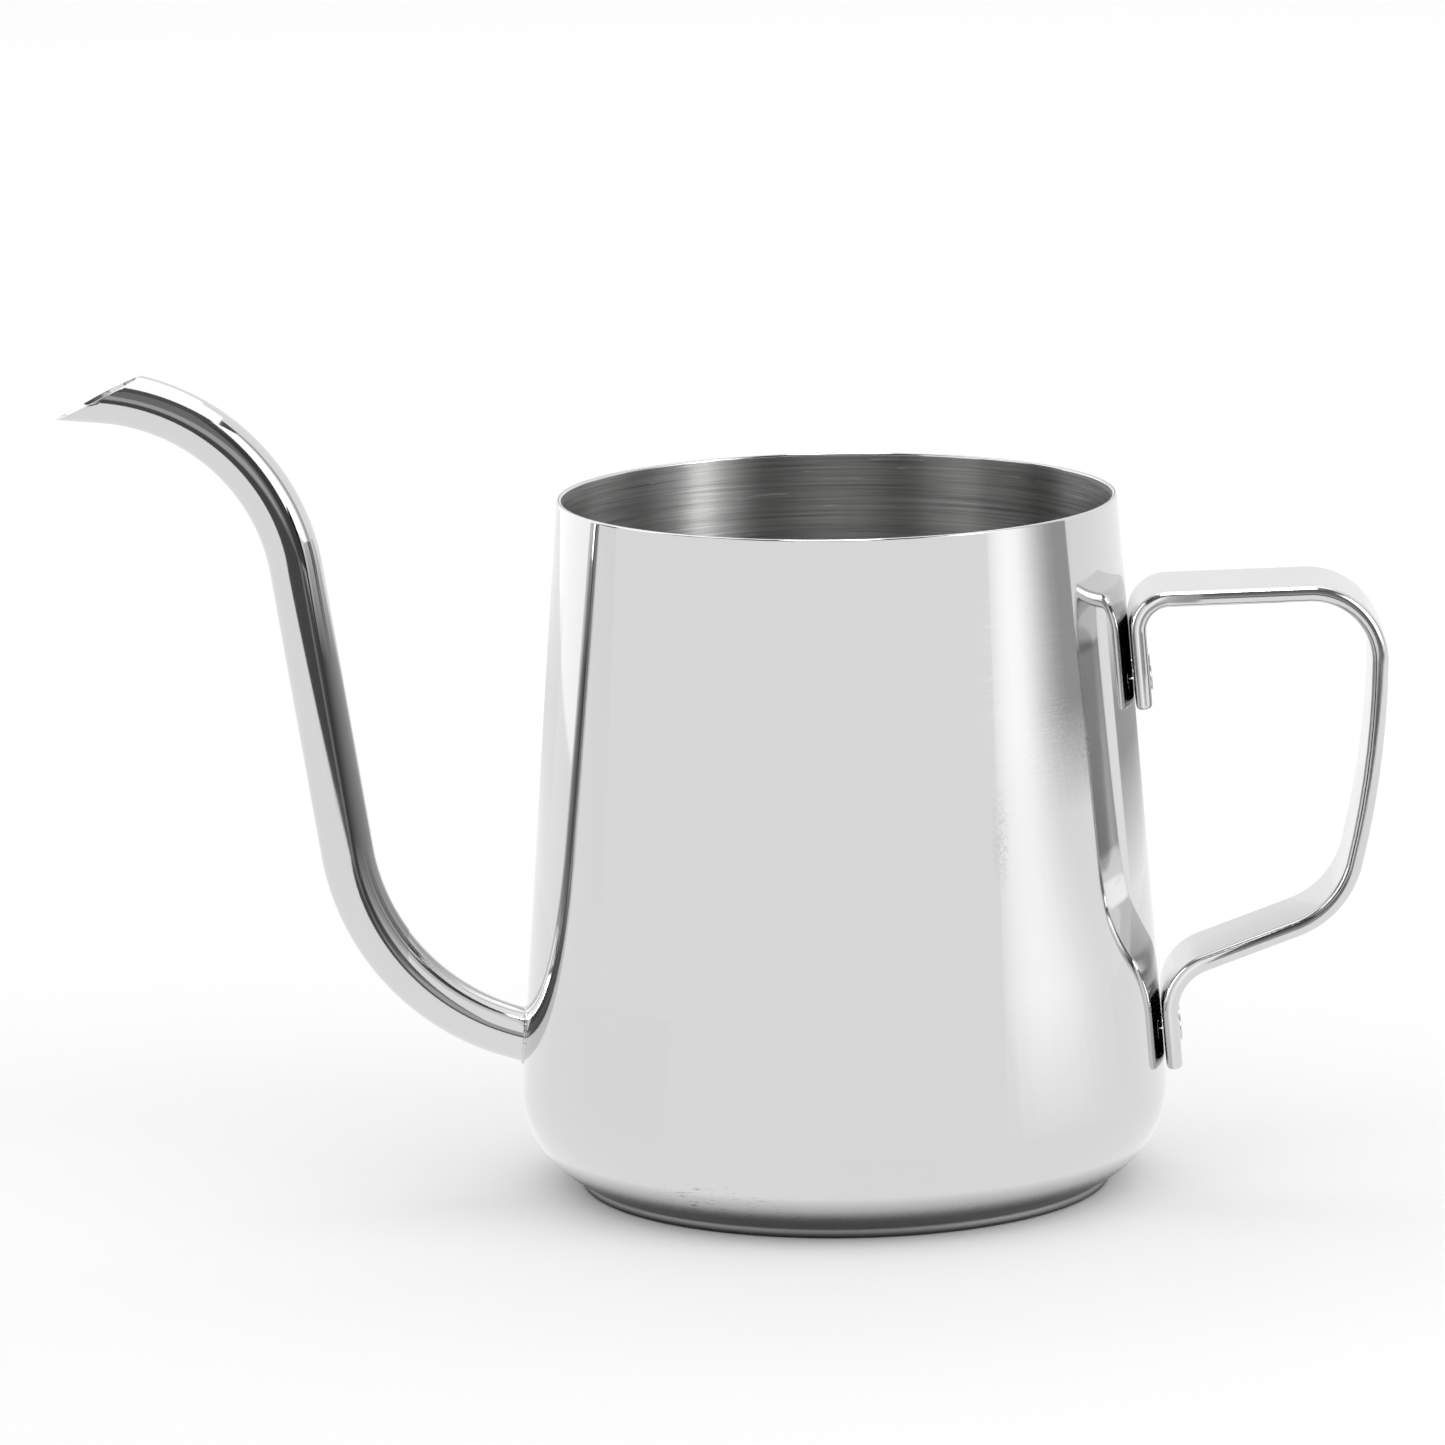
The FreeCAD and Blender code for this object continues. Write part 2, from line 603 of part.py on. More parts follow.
def make_plugs(leg):
    """Two round plugs across a strap leg, from inside the wall to the crown outside the strap."""
    height = f"dims.{leg}_weld_height"
    lean = "dims.wall_angle * 1 deg"
    inner = "(dims.strap_gap + dims.strap_thickness - dims.weld_depth)"
    plugs = []
    for name, side in (("front", -1), ("back", 1)):
        plug = doc.addObject("Part::Cylinder", f"{leg}_{name}_plug")
        plug.setExpression("Radius", "dims.weld_diameter / 2")
        plug.setExpression("Height", "dims.weld_depth + dims.weld_crown")
        place(
            plug,
            f"{wall_radius(height)} + {inner} * cos({lean})",
            f"{side} * dims.weld_spacing / 2",
            f"{height} + {inner} * sin({lean})",
            "90 - dims.wall_angle",
        )
        plugs.append(plug)
    doc.recompute()
    return plugs


def compound(name, items):
    """Several shapes as one."""
    group = doc.addObject("Part::Compound", name)
    group.Links = items
    return group


def make_handle_strap(plugs):
    """The handle: one bent strap with half-round edges and a pair of weld holes in each leg."""
    body = new_body("strap_blank")
    line = new_sketch(body, "strap_line")
    draw_strap_line(line)
    doc.recompute()
    section = body.newObject("Sketcher::SketchObject", "strap_section")
    section.AttachmentSupport = [(line, "Edge1")]
    section.MapMode = "NormalToEdge"
    draw_strap_section(section)
    doc.recompute()
    bent = body.newObject("PartDesign::AdditivePipe", "bent_strap")
    bent.Profile = section
    bent.Spine = (line, whole_chain(line))
    doc.recompute()
    ends = body.newObject("PartDesign::Fillet", "rounded_ends")
    ends.Base = (bent, strap_end_edges(bent.Shape))
    ends.setExpression("Radius", "dims.strap_end_rounding")
    doc.recompute()
    return cut("handle_strap", body, compound("weld_holes", plugs))


def make_handle_welds(leg, plugs, wall_cone):
    """The plug welds of one leg: rounded crowns outside, trimmed to the kettle wall inside."""
    rounded = []
    for plug in plugs:
        crown = doc.addObject("Part::Fillet", f"{plug.Name}_crown")
        crown.Base = plug
        outermost = max(range(len(plug.Shape.Edges)),
                        key=lambda number: plug.Shape.Edges[number].BoundBox.Center.x)
        radius = size("weld_rounding")
        crown.Edges = [(outermost + 1, radius, radius)]
        rounded.append(crown)
    return cut(f"{leg}_handle_welds", compound(f"{leg}_crowns", rounded), wall_cone)


def check_document():
    """Stops if any object failed or any sub-part is empty or broken."""
    for item in doc.Objects:
        failed = {"Invalid", "Error"}.intersection(item.State)
        if failed:
            raise RuntimeError(f"{item.Name} is {failed}")
    for name in NODES:
        shape = doc.getObject(name).Shape
        if shape.isNull() or not shape.isValid() or not shape.Solids:
            raise RuntimeError(f"{name} has no valid solid")


def write_parts():
    """Writes each sub-part to its own file and prints what it holds."""
    os.makedirs("parts", exist_ok=True)
    for name in NODES:
        item = doc.getObject(name)
        item.Shape.exportStep(f"parts/{item.Label}.step")
        print(f"{item.Label}: {len(item.Shape.Solids)} solid(s), {item.Shape.Volume:.1f} mm3")


def main():
    """Builds the kettle, checks it and writes its sub-parts."""
    cone = make_wall_cone()
    make_body_shell()
    make_spout_tube(cone)
    make_spout_weld_bead(cone)
    upper_plugs = make_plugs("upper")
    lower_plugs = make_plugs("lower")
    make_handle_strap(upper_plugs + lower_plugs)
    make_handle_welds("upper", upper_plugs, cone)
    make_handle_welds("lower", lower_plugs, cone)
    doc.recompute()
    check_document()
    write_parts()


main()
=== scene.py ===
"""Looks of a small gooseneck pouring kettle: drawn body, bent spout, strap handle and their welds."""

import logging
import math
from dataclasses import dataclass
from enum import Enum
from typing import Any, Sequence

import bmesh
import bpy
from bpy.types import Material, Mesh, MeshPolygon, Node, NodeSocket, NodeTree, Object
from mathutils import Matrix, Vector


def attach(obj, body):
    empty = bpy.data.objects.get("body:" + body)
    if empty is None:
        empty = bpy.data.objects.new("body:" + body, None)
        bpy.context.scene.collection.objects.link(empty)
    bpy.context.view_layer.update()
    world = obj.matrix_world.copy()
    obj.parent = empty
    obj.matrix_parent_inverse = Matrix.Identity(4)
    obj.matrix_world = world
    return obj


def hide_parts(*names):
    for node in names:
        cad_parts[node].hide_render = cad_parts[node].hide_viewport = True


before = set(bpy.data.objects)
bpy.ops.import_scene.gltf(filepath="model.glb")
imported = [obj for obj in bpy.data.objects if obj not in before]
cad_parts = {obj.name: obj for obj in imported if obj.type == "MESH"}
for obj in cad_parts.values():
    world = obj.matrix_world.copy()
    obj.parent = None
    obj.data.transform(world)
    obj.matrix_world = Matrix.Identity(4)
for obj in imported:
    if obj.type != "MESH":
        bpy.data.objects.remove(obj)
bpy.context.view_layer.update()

MM = 0.001
FULL_TURN = 2 * math.pi
BODY_NAME = "root"
# Two points closer than this are one, such as those at the pole of a turned piece.
WELD_DISTANCE = 1e-6
# Edges sharper than this stay crisp, and the rest of a surface is shaded as one.
CRISP_ANGLE = math.radians(35)
# Numbers of a colour mix's sockets, whose names repeat for each type of value.
MIX_SHARE, MIX_FIRST, MIX_SECOND, MIX_RESULT = 0, 6, 7, 2

log = logging.getLogger("kettle")


class Slot(Enum):
    """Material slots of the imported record."""

    POLISHED = "polished_stainless"
    WELD = "weld_metal"


class Socket(Enum):
    """Kinds of input that a geometry recipe takes."""

    GEOMETRY = "NodeSocketGeometry"
    LENGTH = "NodeSocketFloat"
    COUNT = "NodeSocketInt"
    VECTOR = "NodeSocketVector"
    OBJECT = "NodeSocketObject"
    MATERIAL = "NodeSocketMaterial"


class Seen(Enum):
    """Which rays meet a card of the studio: mirrored cards are seen only in the metal's reflections, as
    painted light and shade there, and lighting cards also light the floor.
    """

    MIRRORED = "mirrored"
    OVERHEAD = "mirrored from overhead"
    LIGHTING = "lighting"


def mm(*lengths: float) -> tuple[float, ...]:
    """Lengths in millimetres as metres."""
    return tuple(length * MM for length in lengths)


def linear(hex_colour: str) -> tuple[float, float, float, float]:
    """Turns an sRGB hex colour into linear light.

    Args:
        hex_colour: Colour such as "#d6d6d6".

    Returns:
        Linear red, green and blue, and full alpha.
    """
    channels = [int(hex_colour[start:start + 2], 16) / 255 for start in (1, 3, 5)]
    rgb = [c / 12.92 if c <= 0.04045 else ((c + 0.055) / 1.055) ** 2.4 for c in channels]
    return (rgb[0], rgb[1], rgb[2], 1.0)


def add_node(tree: NodeTree, kind: str, inputs: dict[Any, Any] | None = None,
             **settings: Any) -> Node:
    """Adds one node to a tree with its settings, values and links.

    Args:
        tree: Tree that gets the node.
        kind: Blender's name for the node type.
        inputs: Socket name or number to a value, or to the output socket that feeds it.
        settings: Properties of the node itself.

    Returns:
        The new node.
    """
    node = tree.nodes.new(kind)
    for name, value in settings.items():
        setattr(node, name, value)
    for socket, value in (inputs or {}).items():
        if isinstance(value, NodeSocket):
            tree.links.new(value, node.inputs[socket])
        else:
            node.inputs[socket].default_value = value
    return node


def empty_material(name: str) -> tuple[Material, NodeTree]:
    """Makes a material without any nodes.

    Args:
        name: Name of the material.

    Returns:
        The material and its empty tree.
    """
    material = bpy.data.materials.new(name)
    material.use_nodes = True
    material.node_tree.nodes.clear()
    return material, material.node_tree


class GeometryRecipe:
    """A geometry tree with named inputs that turns a drawn line into a piece."""

    def __init__(self, name: str, inputs: dict[str, Socket]) -> None:
        """Starts an empty tree that takes the drawn line, the material and further inputs.

        Args:
            name: Name of the tree.
            inputs: Title of each further input to its kind.
        """
        self.tree = bpy.data.node_groups.new(name, "GeometryNodeTree")
        self.identifiers: dict[str, str] = {}
        for title, kind in {"Line": Socket.GEOMETRY, "Material": Socket.MATERIAL, **inputs}.items():
            made = self.tree.interface.new_socket(title, in_out="INPUT", socket_type=kind.value)
            self.identifiers[title] = made.identifier
        self.tree.interface.new_socket("Mesh", in_out="OUTPUT", socket_type=Socket.GEOMETRY.value)
        self.entry = self.tree.nodes.new("NodeGroupInput")

    def read(self, title: str) -> NodeSocket:
        """The value of one named input inside the tree."""
        return self.entry.outputs[title]

    def add(self, kind: str, inputs: dict[Any, Any] | None = None, **settings: Any) -> NodeSocket:
        """Adds a node and gives its first output."""
        return add_node(self.tree, kind, inputs, **settings).outputs[0]

    def finish(self, mesh: NodeSocket) -> None:
        """Shades, realizes and dresses the tree's result.

        Args:
            mesh: Output socket that carries the result.
        """
        angle = self.add("GeometryNodeInputMeshEdgeAngle")
        soft = self.add("FunctionNodeCompare", {0: angle, 1: CRISP_ANGLE}, operation="LESS_THAN")
        whole = self.add("GeometryNodeRealizeInstances", {"Geometry": mesh})
        faces = self.add("GeometryNodeSetShadeSmooth", {"Geometry": whole}, domain="FACE")
        edges = self.add("GeometryNodeSetShadeSmooth", {"Geometry": faces, "Shade Smooth": soft},
                         domain="EDGE")
        dressed = self.add("GeometryNodeSetMaterial", {"Geometry": edges, "Material": self.read("Material")})
        add_node(self.tree, "NodeGroupOutput", {"Mesh": dressed})

    def attach(self, piece: Object, values: dict[str, Any]) -> None:
        """Puts the recipe on a piece.

        Args:
            piece: Object that holds the drawn line.
            values: Input title to its value.
        """
        modifier = piece.modifiers.new(self.tree.name, "NODES")
        modifier.node_group = self.tree
        for title, value in values.items():
            modifier[self.identifiers[title]] = value


class FlatPen:
    """Draws straight runs and the arcs tangent to them on a flat sheet."""

    ARC_STEP = 2.0

    def __init__(self, start: Sequence[float], heading: float) -> None:
        """Starts at a point, with a heading in degrees from the X axis."""
        self.points = [Vector((start[0], start[1]))]
        self.heading = heading

    @staticmethod
    def toward(degrees: float) -> Vector:
        """A unit vector at an angle from the X axis."""
        return Vector((math.cos(math.radians(degrees)), math.sin(math.radians(degrees))))

    def run(self, length: float, pieces: int = 1) -> None:
        """Draws a straight run.

        Args:
            length: Length of the run.
            pieces: How many equal parts it is drawn in.
        """
        start = self.points[-1]
        for number in range(1, pieces + 1):
            self.points.append(start + self.toward(self.heading) * length * number / pieces)

    def bend(self, radius: float, turn: float) -> None:
        """Draws an arc tangent to what came before.

        Args:
            radius: Radius of the arc.
            turn: Change of heading in degrees, anticlockwise when positive.
        """
        side = math.copysign(90.0, turn)
        centre = self.points[-1] + self.toward(self.heading + side) * radius
        steps = max(1, math.ceil(abs(turn) / self.ARC_STEP))
        for number in range(1, steps + 1):
            spoke = self.heading - side + turn * number / steps
            self.points.append(centre + self.toward(spoke) * radius)
        self.heading += turn


@dataclass(frozen=True)
class Corner:
    """One corner of an outline, rounded off when it has a radius."""

    across: float
    up: float
    rounding: float = 0.0


def rounded_outline(corners: Sequence[Corner], steps: int, hold: float) -> list[Vector]:
    """Draws an outline with its rounded corners as arcs.

    Args:
        corners: Corners in order.
        steps: Straight parts in each rounding.
        hold: Distance from a rounding at which a further point keeps the straight stretch flat.

    Returns:
        Points of the outline, across and up.
    """
    spots = [Vector((corner.across, corner.up)) for corner in corners]
    points: list[Vector] = []
    for number, corner in enumerate(corners):
        here = spots[number]
        if not corner.rounding:
            points.append(here)
            continue
        back = (spots[number - 1] - here).normalized()
        ahead = (spots[number + 1] - here).normalized()
        half = back.angle(ahead) / 2
        trim = corner.rounding / math.tan(half)
        centre = here + (back + ahead).normalized() * corner.rounding / math.sin(half)
        first = here + back * trim - centre
        sweep = first.angle_signed(here + ahead * trim - centre)
        points.append(here + back * (trim + hold))
        for step in range(steps + 1):
            points.append(centre + Matrix.Rotation(-sweep * step / steps, 2) @ first)
        points.append(here + ahead * (trim + hold))
    return points


def drawn_line(name: str, points: Sequence[Vector], closed: bool = False) -> Object:
    """Makes a curve object of straight parts through points.

    Args:
        name: Name of the new piece.
        points: Points in metres, flat or in space.
        closed: Whether the last point joins the first.

    Returns:
        The curve object, linked to the scene.
    """
    curve = bpy.data.curves.new(name, "CURVE")
    curve.dimensions = "3D"
    spline = curve.splines.new("POLY")
    spline.points.add(len(points) - 1)
    for point, spot in zip(spline.points, points):
        point.co = (*spot.to_3d(), 1.0)
    spline.use_cyclic_u = closed
    piece = bpy.data.objects.new(name, curve)
    bpy.context.scene.collection.objects.link(piece)
    return piece


def made_mesh(piece: Object) -> Object:
    """Turns a piece with modifiers into a plain mesh object of the same name.

    Args:
        piece: Object with its recipe and other modifiers.

    Returns:
        The plain mesh object.
    """
    graph = bpy.context.evaluated_depsgraph_get()
    mesh = bpy.data.meshes.new_from_object(piece.evaluated_get(graph), depsgraph=graph)
    name = piece.name
    bpy.data.objects.remove(piece)
    mesh.name = name
    plain = bpy.data.objects.new(name, mesh)
    bpy.context.scene.collection.objects.link(plain)
    return plain


def dress(mesh: Mesh, finishes: Sequence[Material]) -> None:
    """Gives a mesh its finishes, the first one on every face, and keeps its sharp edges crisp.

    Args:
        mesh: Mesh of a piece.
        finishes: Materials, the main one first.
    """
    mesh.materials.clear()
    for finish in finishes:
        mesh.materials.append(finish)
    mesh.polygons.foreach_set("material_index", [0] * len(mesh.polygons))
    mesh.shade_smooth()
    mesh.set_sharp_from_angle(angle=CRISP_ANGLE)


def hand_over(piece: Object, node: str) -> None:
    """Lets a finished piece stand for a CAD node.

    Args:
        piece: Plain mesh object at the origin.
        node: CAD node that it stands for.
    """
    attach(piece, BODY_NAME)
    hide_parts(node)
    log.info("%s stands for %s with %d faces", piece.name, node, len(piece.data.polygons))


# Finishes


@dataclass(frozen=True)
class Grain:
    """A noise in real sizes: the distance over which it changes along each axis, and its finer layers."""

    size: tuple[float, ...]
    detail: float = 4.0
    roughness: float = 0.65

    def add(self, tree: NodeTree, place: NodeSocket) -> NodeSocket:
        """Adds the noise to a material.

        Args:
            tree: Tree of the material.
            place: Object coordinates.

        Returns:
            Output socket of the noise.
        """
        scale = [1 / distance for distance in self.size]
        stretched = add_node(tree, "ShaderNodeMapping", {"Vector": place, "Scale": scale}).outputs[0]
        return add_node(tree, "ShaderNodeTexNoise", {
            "Vector": stretched, "Scale": 1.0, "Detail": self.detail, "Roughness": self.roughness,
        }).outputs[0]


@dataclass(frozen=True)
class WearAndShadeMark:
    """A patch of short streaks that are duller or darker: wear that handling or the buffing wheel left, and
    painted shade where a mark darkens the reflection at the foot.
    """

    centre: tuple[float, ...]
    reach: tuple[float, ...]
    streak: Grain
    dulling: float
    darkening: float = 0.0
    # Noise level above which a streak shows: the higher, the fewer streaks.
    rarity: float = 0.48
    streak_edge: float = 0.12
    # Share of the reach within which the mark is full.
    core: float = 0.3


@dataclass(frozen=True)
class PolishedStainless:
    """Buffed 18/8 stainless sheet: a near mirror with hazy smudges, faint buffing lines, patches of wear and
    patches of painted shade.
    """

    name: str
    colour: str = "#d8d8d8"
    stain_colour: str = "#d5d5d5"
    # Colour that darkening marks blend towards: real scratches, and painted shade at the foot.
    scratch_colour: str = "#6a6a6a"
    # Real buffing lines are finer than the picture shows.
    line: Grain = Grain(mm(1.5, 1.5, 1.5))
    line_depth: float = 0.0002 * MM
    smudge: Grain = Grain(mm(14, 14, 14), roughness=0.55)
    # Noise levels between which a smudge goes from clear to hazy.
    smudge_span: tuple[float, float] = (0.45, 0.75)
    roughness: float = 0.05
    haze: float = 0.04
    # Below this height the polish is duller, where the wheel didn't reach under the belly.
    dull_height: float = 0.0
    dull_haze: float = 0.0
    dull_grain: Grain = Grain(mm(0.9, 0.9, 0.9), detail=3.0, roughness=0.7)
    # Shares of the dull height: how ragged its edge is, and where the dullness begins and is full.
    dull_raggedness: float = 0.5
    dull_span: tuple[float, float] = (1.25, 0.5)
    marks: tuple[WearAndShadeMark, ...] = ()

    def build(self) -> Material:
        """Makes the material.

        Returns:
            A metal whose gloss varies with smudges, buffing lines and wear.
        """
        material, tree = empty_material(self.name)
        place = add_node(tree, "ShaderNodeTexCoord").outputs["Object"]
        lines = self.line.add(tree, place)
        smudges = self.smudge.add(tree, place)
        gloss = add_node(tree, "ShaderNodeMapRange", {
            "Value": smudges, "From Min": self.smudge_span[0], "From Max": self.smudge_span[1],
            "To Min": self.roughness, "To Max": self.roughness + self.haze,
        }).outputs[0]
        tint = add_node(tree, "ShaderNodeMix", {
            MIX_SHARE: smudges, MIX_FIRST: linear(self.colour), MIX_SECOND: linear(self.stain_colour),
        }, data_type="RGBA").outputs[MIX_RESULT]
        for mark in self.marks:
            wear_and_shade = self.wear_and_shade(tree, place, mark)
            gloss = add_node(tree, "ShaderNodeMath", {0: wear_and_shade, 1: mark.dulling, 2: gloss},
                             operation="MULTIPLY_ADD").outputs[0]
            # Darkening marks: real wear streaks, and at the foot painted shade that darkens its reflection.
            if mark.darkening:
                share = add_node(tree, "ShaderNodeMath", {0: wear_and_shade, 1: mark.darkening},
                                 operation="MULTIPLY").outputs[0]
                tint = add_node(tree, "ShaderNodeMix", {
                    MIX_SHARE: share, MIX_FIRST: tint, MIX_SECOND: linear(self.scratch_colour),
                }, data_type="RGBA").outputs[MIX_RESULT]
        if self.dull_height:
            gloss = self.dulled(tree, place, gloss)
        bump = add_node(tree, "ShaderNodeBump", {
            "Height": lines, "Strength": 1.0, "Distance": self.line_depth,
        }).outputs[0]
        shader = add_node(tree, "ShaderNodeBsdfPrincipled", {
            "Base Color": tint, "Metallic": 1.0, "Roughness": gloss, "Normal": bump,
        }).outputs[0]
        add_node(tree, "ShaderNodeOutputMaterial", {"Surface": shader})
        return material

    @staticmethod
    def wear_and_shade(tree: NodeTree, place: NodeSocket, mark: WearAndShadeMark) -> NodeSocket:
        """Adds the streaks of one mark.

        Args:
            tree: Tree of the material.
            place: Object coordinates.
            mark: Where and how the mark dulls and darkens the polish.

        Returns:
            How strongly the mark shows, from 0 to 1: wear, and for the mark at the foot, painted shade.
        """
        offset = add_node(tree, "ShaderNodeVectorMath", {0: place, 1: mark.centre},
                          operation="SUBTRACT").outputs[0]
        share = add_node(tree, "ShaderNodeVectorMath", {0: offset, 1: mark.reach},
                         operation="DIVIDE").outputs[0]
        away = add_node(tree, "ShaderNodeVectorMath", {0: share}, operation="LENGTH").outputs["Value"]
        within = add_node(tree, "ShaderNodeMapRange", {
            "Value": away, "From Min": 1.0, "From Max": mark.core,
        }, interpolation_type="SMOOTHSTEP").outputs[0]
        streak = add_node(tree, "ShaderNodeMapRange", {
            "Value": mark.streak.add(tree, place),
            "From Min": mark.rarity, "From Max": mark.rarity + mark.streak_edge,
        }).outputs[0]
        return add_node(tree, "ShaderNodeMath", {0: within, 1: streak}, operation="MULTIPLY").outputs[0]

    def dulled(self, tree: NodeTree, place: NodeSocket,
               gloss: NodeSocket) -> NodeSocket:
        """Dulls the gloss towards the foot.

        Args:
            tree: Tree of the material.
            place: Object coordinates.
            gloss: Roughness so far.

        Returns:
            Roughness with the dull belt.
        """
        height = add_node(tree, "ShaderNodeSeparateXYZ", {0: place}).outputs["Z"]
        ragged = add_node(tree, "ShaderNodeMath", {
            0: self.dull_grain.add(tree, place), 1: self.dull_height * self.dull_raggedness, 2: height,
        }, operation="MULTIPLY_ADD").outputs[0]
        start, full = (self.dull_height * share for share in self.dull_span)
        belt = add_node(tree, "ShaderNodeMapRange", {
            "Value": ragged, "From Min": start, "From Max": full, "To Min": 0.0, "To Max": self.dull_haze,
        }, interpolation_type="SMOOTHSTEP").outputs[0]
        return add_node(tree, "ShaderNodeMath", {0: gloss, 1: belt}, operation="ADD").outputs[0]


@dataclass(frozen=True)
class BrushedStainless:
    """Stainless brushed round the axis with an abrasive pad: streaky, with bright stray scratches."""

    name: str
    colour: str = "#c8c8c7"
    dark_colour: str = "#8f8f8e"
    scratch_colour: str = "#f4f4f4"
    line: Grain = Grain(mm(22, 22, 0.3))
    scratch: Grain = Grain(mm(14, 14, 0.5))
    # Noise levels between which a line goes from dark to bright, and a stray scratch from none to full.
    line_span: tuple[float, float] = (0.3, 0.7)
    scratch_span: tuple[float, float] = (0.66, 0.72)
    roughness: float = 0.4
    roughness_spread: float = 0.06
    line_depth: float = 0.004 * MM
    grain: float = 1.0

    def build(self) -> Material:
        """Makes the material.

        Returns:
            A metal whose lines run round the upright axis, so that lights smear across them.
        """
        material, tree = empty_material(self.name)
        place = add_node(tree, "ShaderNodeTexCoord").outputs["Object"]
        lines = self.line.add(tree, place)
        contrast = add_node(tree, "ShaderNodeMapRange", {
            "Value": lines, "From Min": self.line_span[0], "From Max": self.line_span[1],
        }).outputs[0]
        stray = add_node(tree, "ShaderNodeMapRange", {
            "Value": self.scratch.add(tree, place),
            "From Min": self.scratch_span[0], "From Max": self.scratch_span[1],
        }).outputs[0]
        brushed = add_node(tree, "ShaderNodeMix", {
            MIX_SHARE: contrast, MIX_FIRST: linear(self.dark_colour), MIX_SECOND: linear(self.colour),
        }, data_type="RGBA").outputs[MIX_RESULT]
        tint = add_node(tree, "ShaderNodeMix", {
            MIX_SHARE: stray, MIX_FIRST: brushed, MIX_SECOND: linear(self.scratch_colour),
        }, data_type="RGBA").outputs[MIX_RESULT]
        gloss = add_node(tree, "ShaderNodeMapRange", {
            "Value": lines, "From Min": self.line_span[0], "From Max": self.line_span[1],
            "To Min": self.roughness - self.roughness_spread,
            "To Max": self.roughness + self.roughness_spread,
        }).outputs[0]
        bump = add_node(tree, "ShaderNodeBump", {
            "Height": lines, "Strength": 1.0, "Distance": self.line_depth,
        }).outputs[0]
        upright = add_node(tree, "ShaderNodeCombineXYZ", {"Z": 1.0}).outputs[0]
        around = add_node(tree, "ShaderNodeVectorMath", {0: upright, 1: place},
                          operation="CROSS_PRODUCT").outputs[0]
        surface = add_node(tree, "ShaderNodeNewGeometry").outputs["Normal"]
        across = add_node(tree, "ShaderNodeVectorMath", {0: around, 1: surface},
                          operation="CROSS_PRODUCT").outputs[0]
        shader = add_node(tree, "ShaderNodeBsdfPrincipled", {
            "Base Color": tint, "Metallic": 1.0, "Roughness": gloss, "Anisotropic": self.grain,
            "Tangent": across, "Normal": bump,
        }).outputs[0]
        add_node(tree, "ShaderNodeOutputMaterial", {"Surface": shader})
        return material


@dataclass(frozen=True)
class DressedWeld:
    """Weld metal that was ground and buffed: bright, softer than the sheet, with a fine ripple."""

    name: str
    colour: str = "#d0d0cf"
    ripple: Grain = Grain(mm(0.3, 0.3, 0.3), detail=3.0, roughness=0.6)
    # Noise levels between which the ripple goes from glossy to dull.
    ripple_span: tuple[float, float] = (0.3, 0.7)
    roughness: float = 0.16
    roughness_spread: float = 0.08
    depth: float = 0.006 * MM

    def build(self) -> Material:
        """Makes the material.

        Returns:
            A metal with an uneven, softly buffed surface.
        """
        material, tree = empty_material(self.name)
        place = add_node(tree, "ShaderNodeTexCoord").outputs["Object"]
        ripple = self.ripple.add(tree, place)
        gloss = add_node(tree, "ShaderNodeMapRange", {
            "Value": ripple, "From Min": self.ripple_span[0], "From Max": self.ripple_span[1],
            "To Min": self.roughness - self.roughness_spread,
            "To Max": self.roughness + self.roughness_spread,
        }).outputs[0]
        bump = add_node(tree, "ShaderNodeBump", {
            "Height": ripple, "Strength": 1.0, "Distance": self.depth,
        }).outputs[0]
        shader = add_node(tree, "ShaderNodeBsdfPrincipled", {
            "Base Color": linear(self.colour), "Metallic": 1.0, "Roughness": gloss, "Normal": bump,
        }).outputs[0]
        add_node(tree, "ShaderNodeOutputMaterial", {"Surface": shader})
        return material


# Geometry recipes


def turned_mesh(recipe: GeometryRecipe) -> NodeSocket:
    """Adds the nodes that turn the drawn half outline about the Z axis.

    Args:
        recipe: Recipe with the inputs Segments and Wheel Radius.

    Returns:
        Output socket of the turned mesh, its poles closed.
    """
    wheel = recipe.add("GeometryNodeCurvePrimitiveCircle", {
        "Resolution": recipe.read("Segments"), "Radius": recipe.read("Wheel Radius"),
    })
    turned = recipe.add("GeometryNodeCurveToMesh", {"Curve": wheel, "Profile Curve": recipe.read("Line")})
    return recipe.add("GeometryNodeMergeByDistance", {"Geometry": turned, "Distance": WELD_DISTANCE})


def on_wheel(points: Sequence[Vector], wheel_radius: float) -> list[Vector]:
    """Moves a half outline to where the turning wheel carries it.

    Args:
        points: Outline as radius and height.
        wheel_radius: Radius of the wheel.

    Returns:
        The same outline backwards, measured from the wheel and with its height downwards, so that its
        faces point outwards.
    """
    return [Vector((point.x - wheel_radius, -point.y)) for point in reversed(points)]


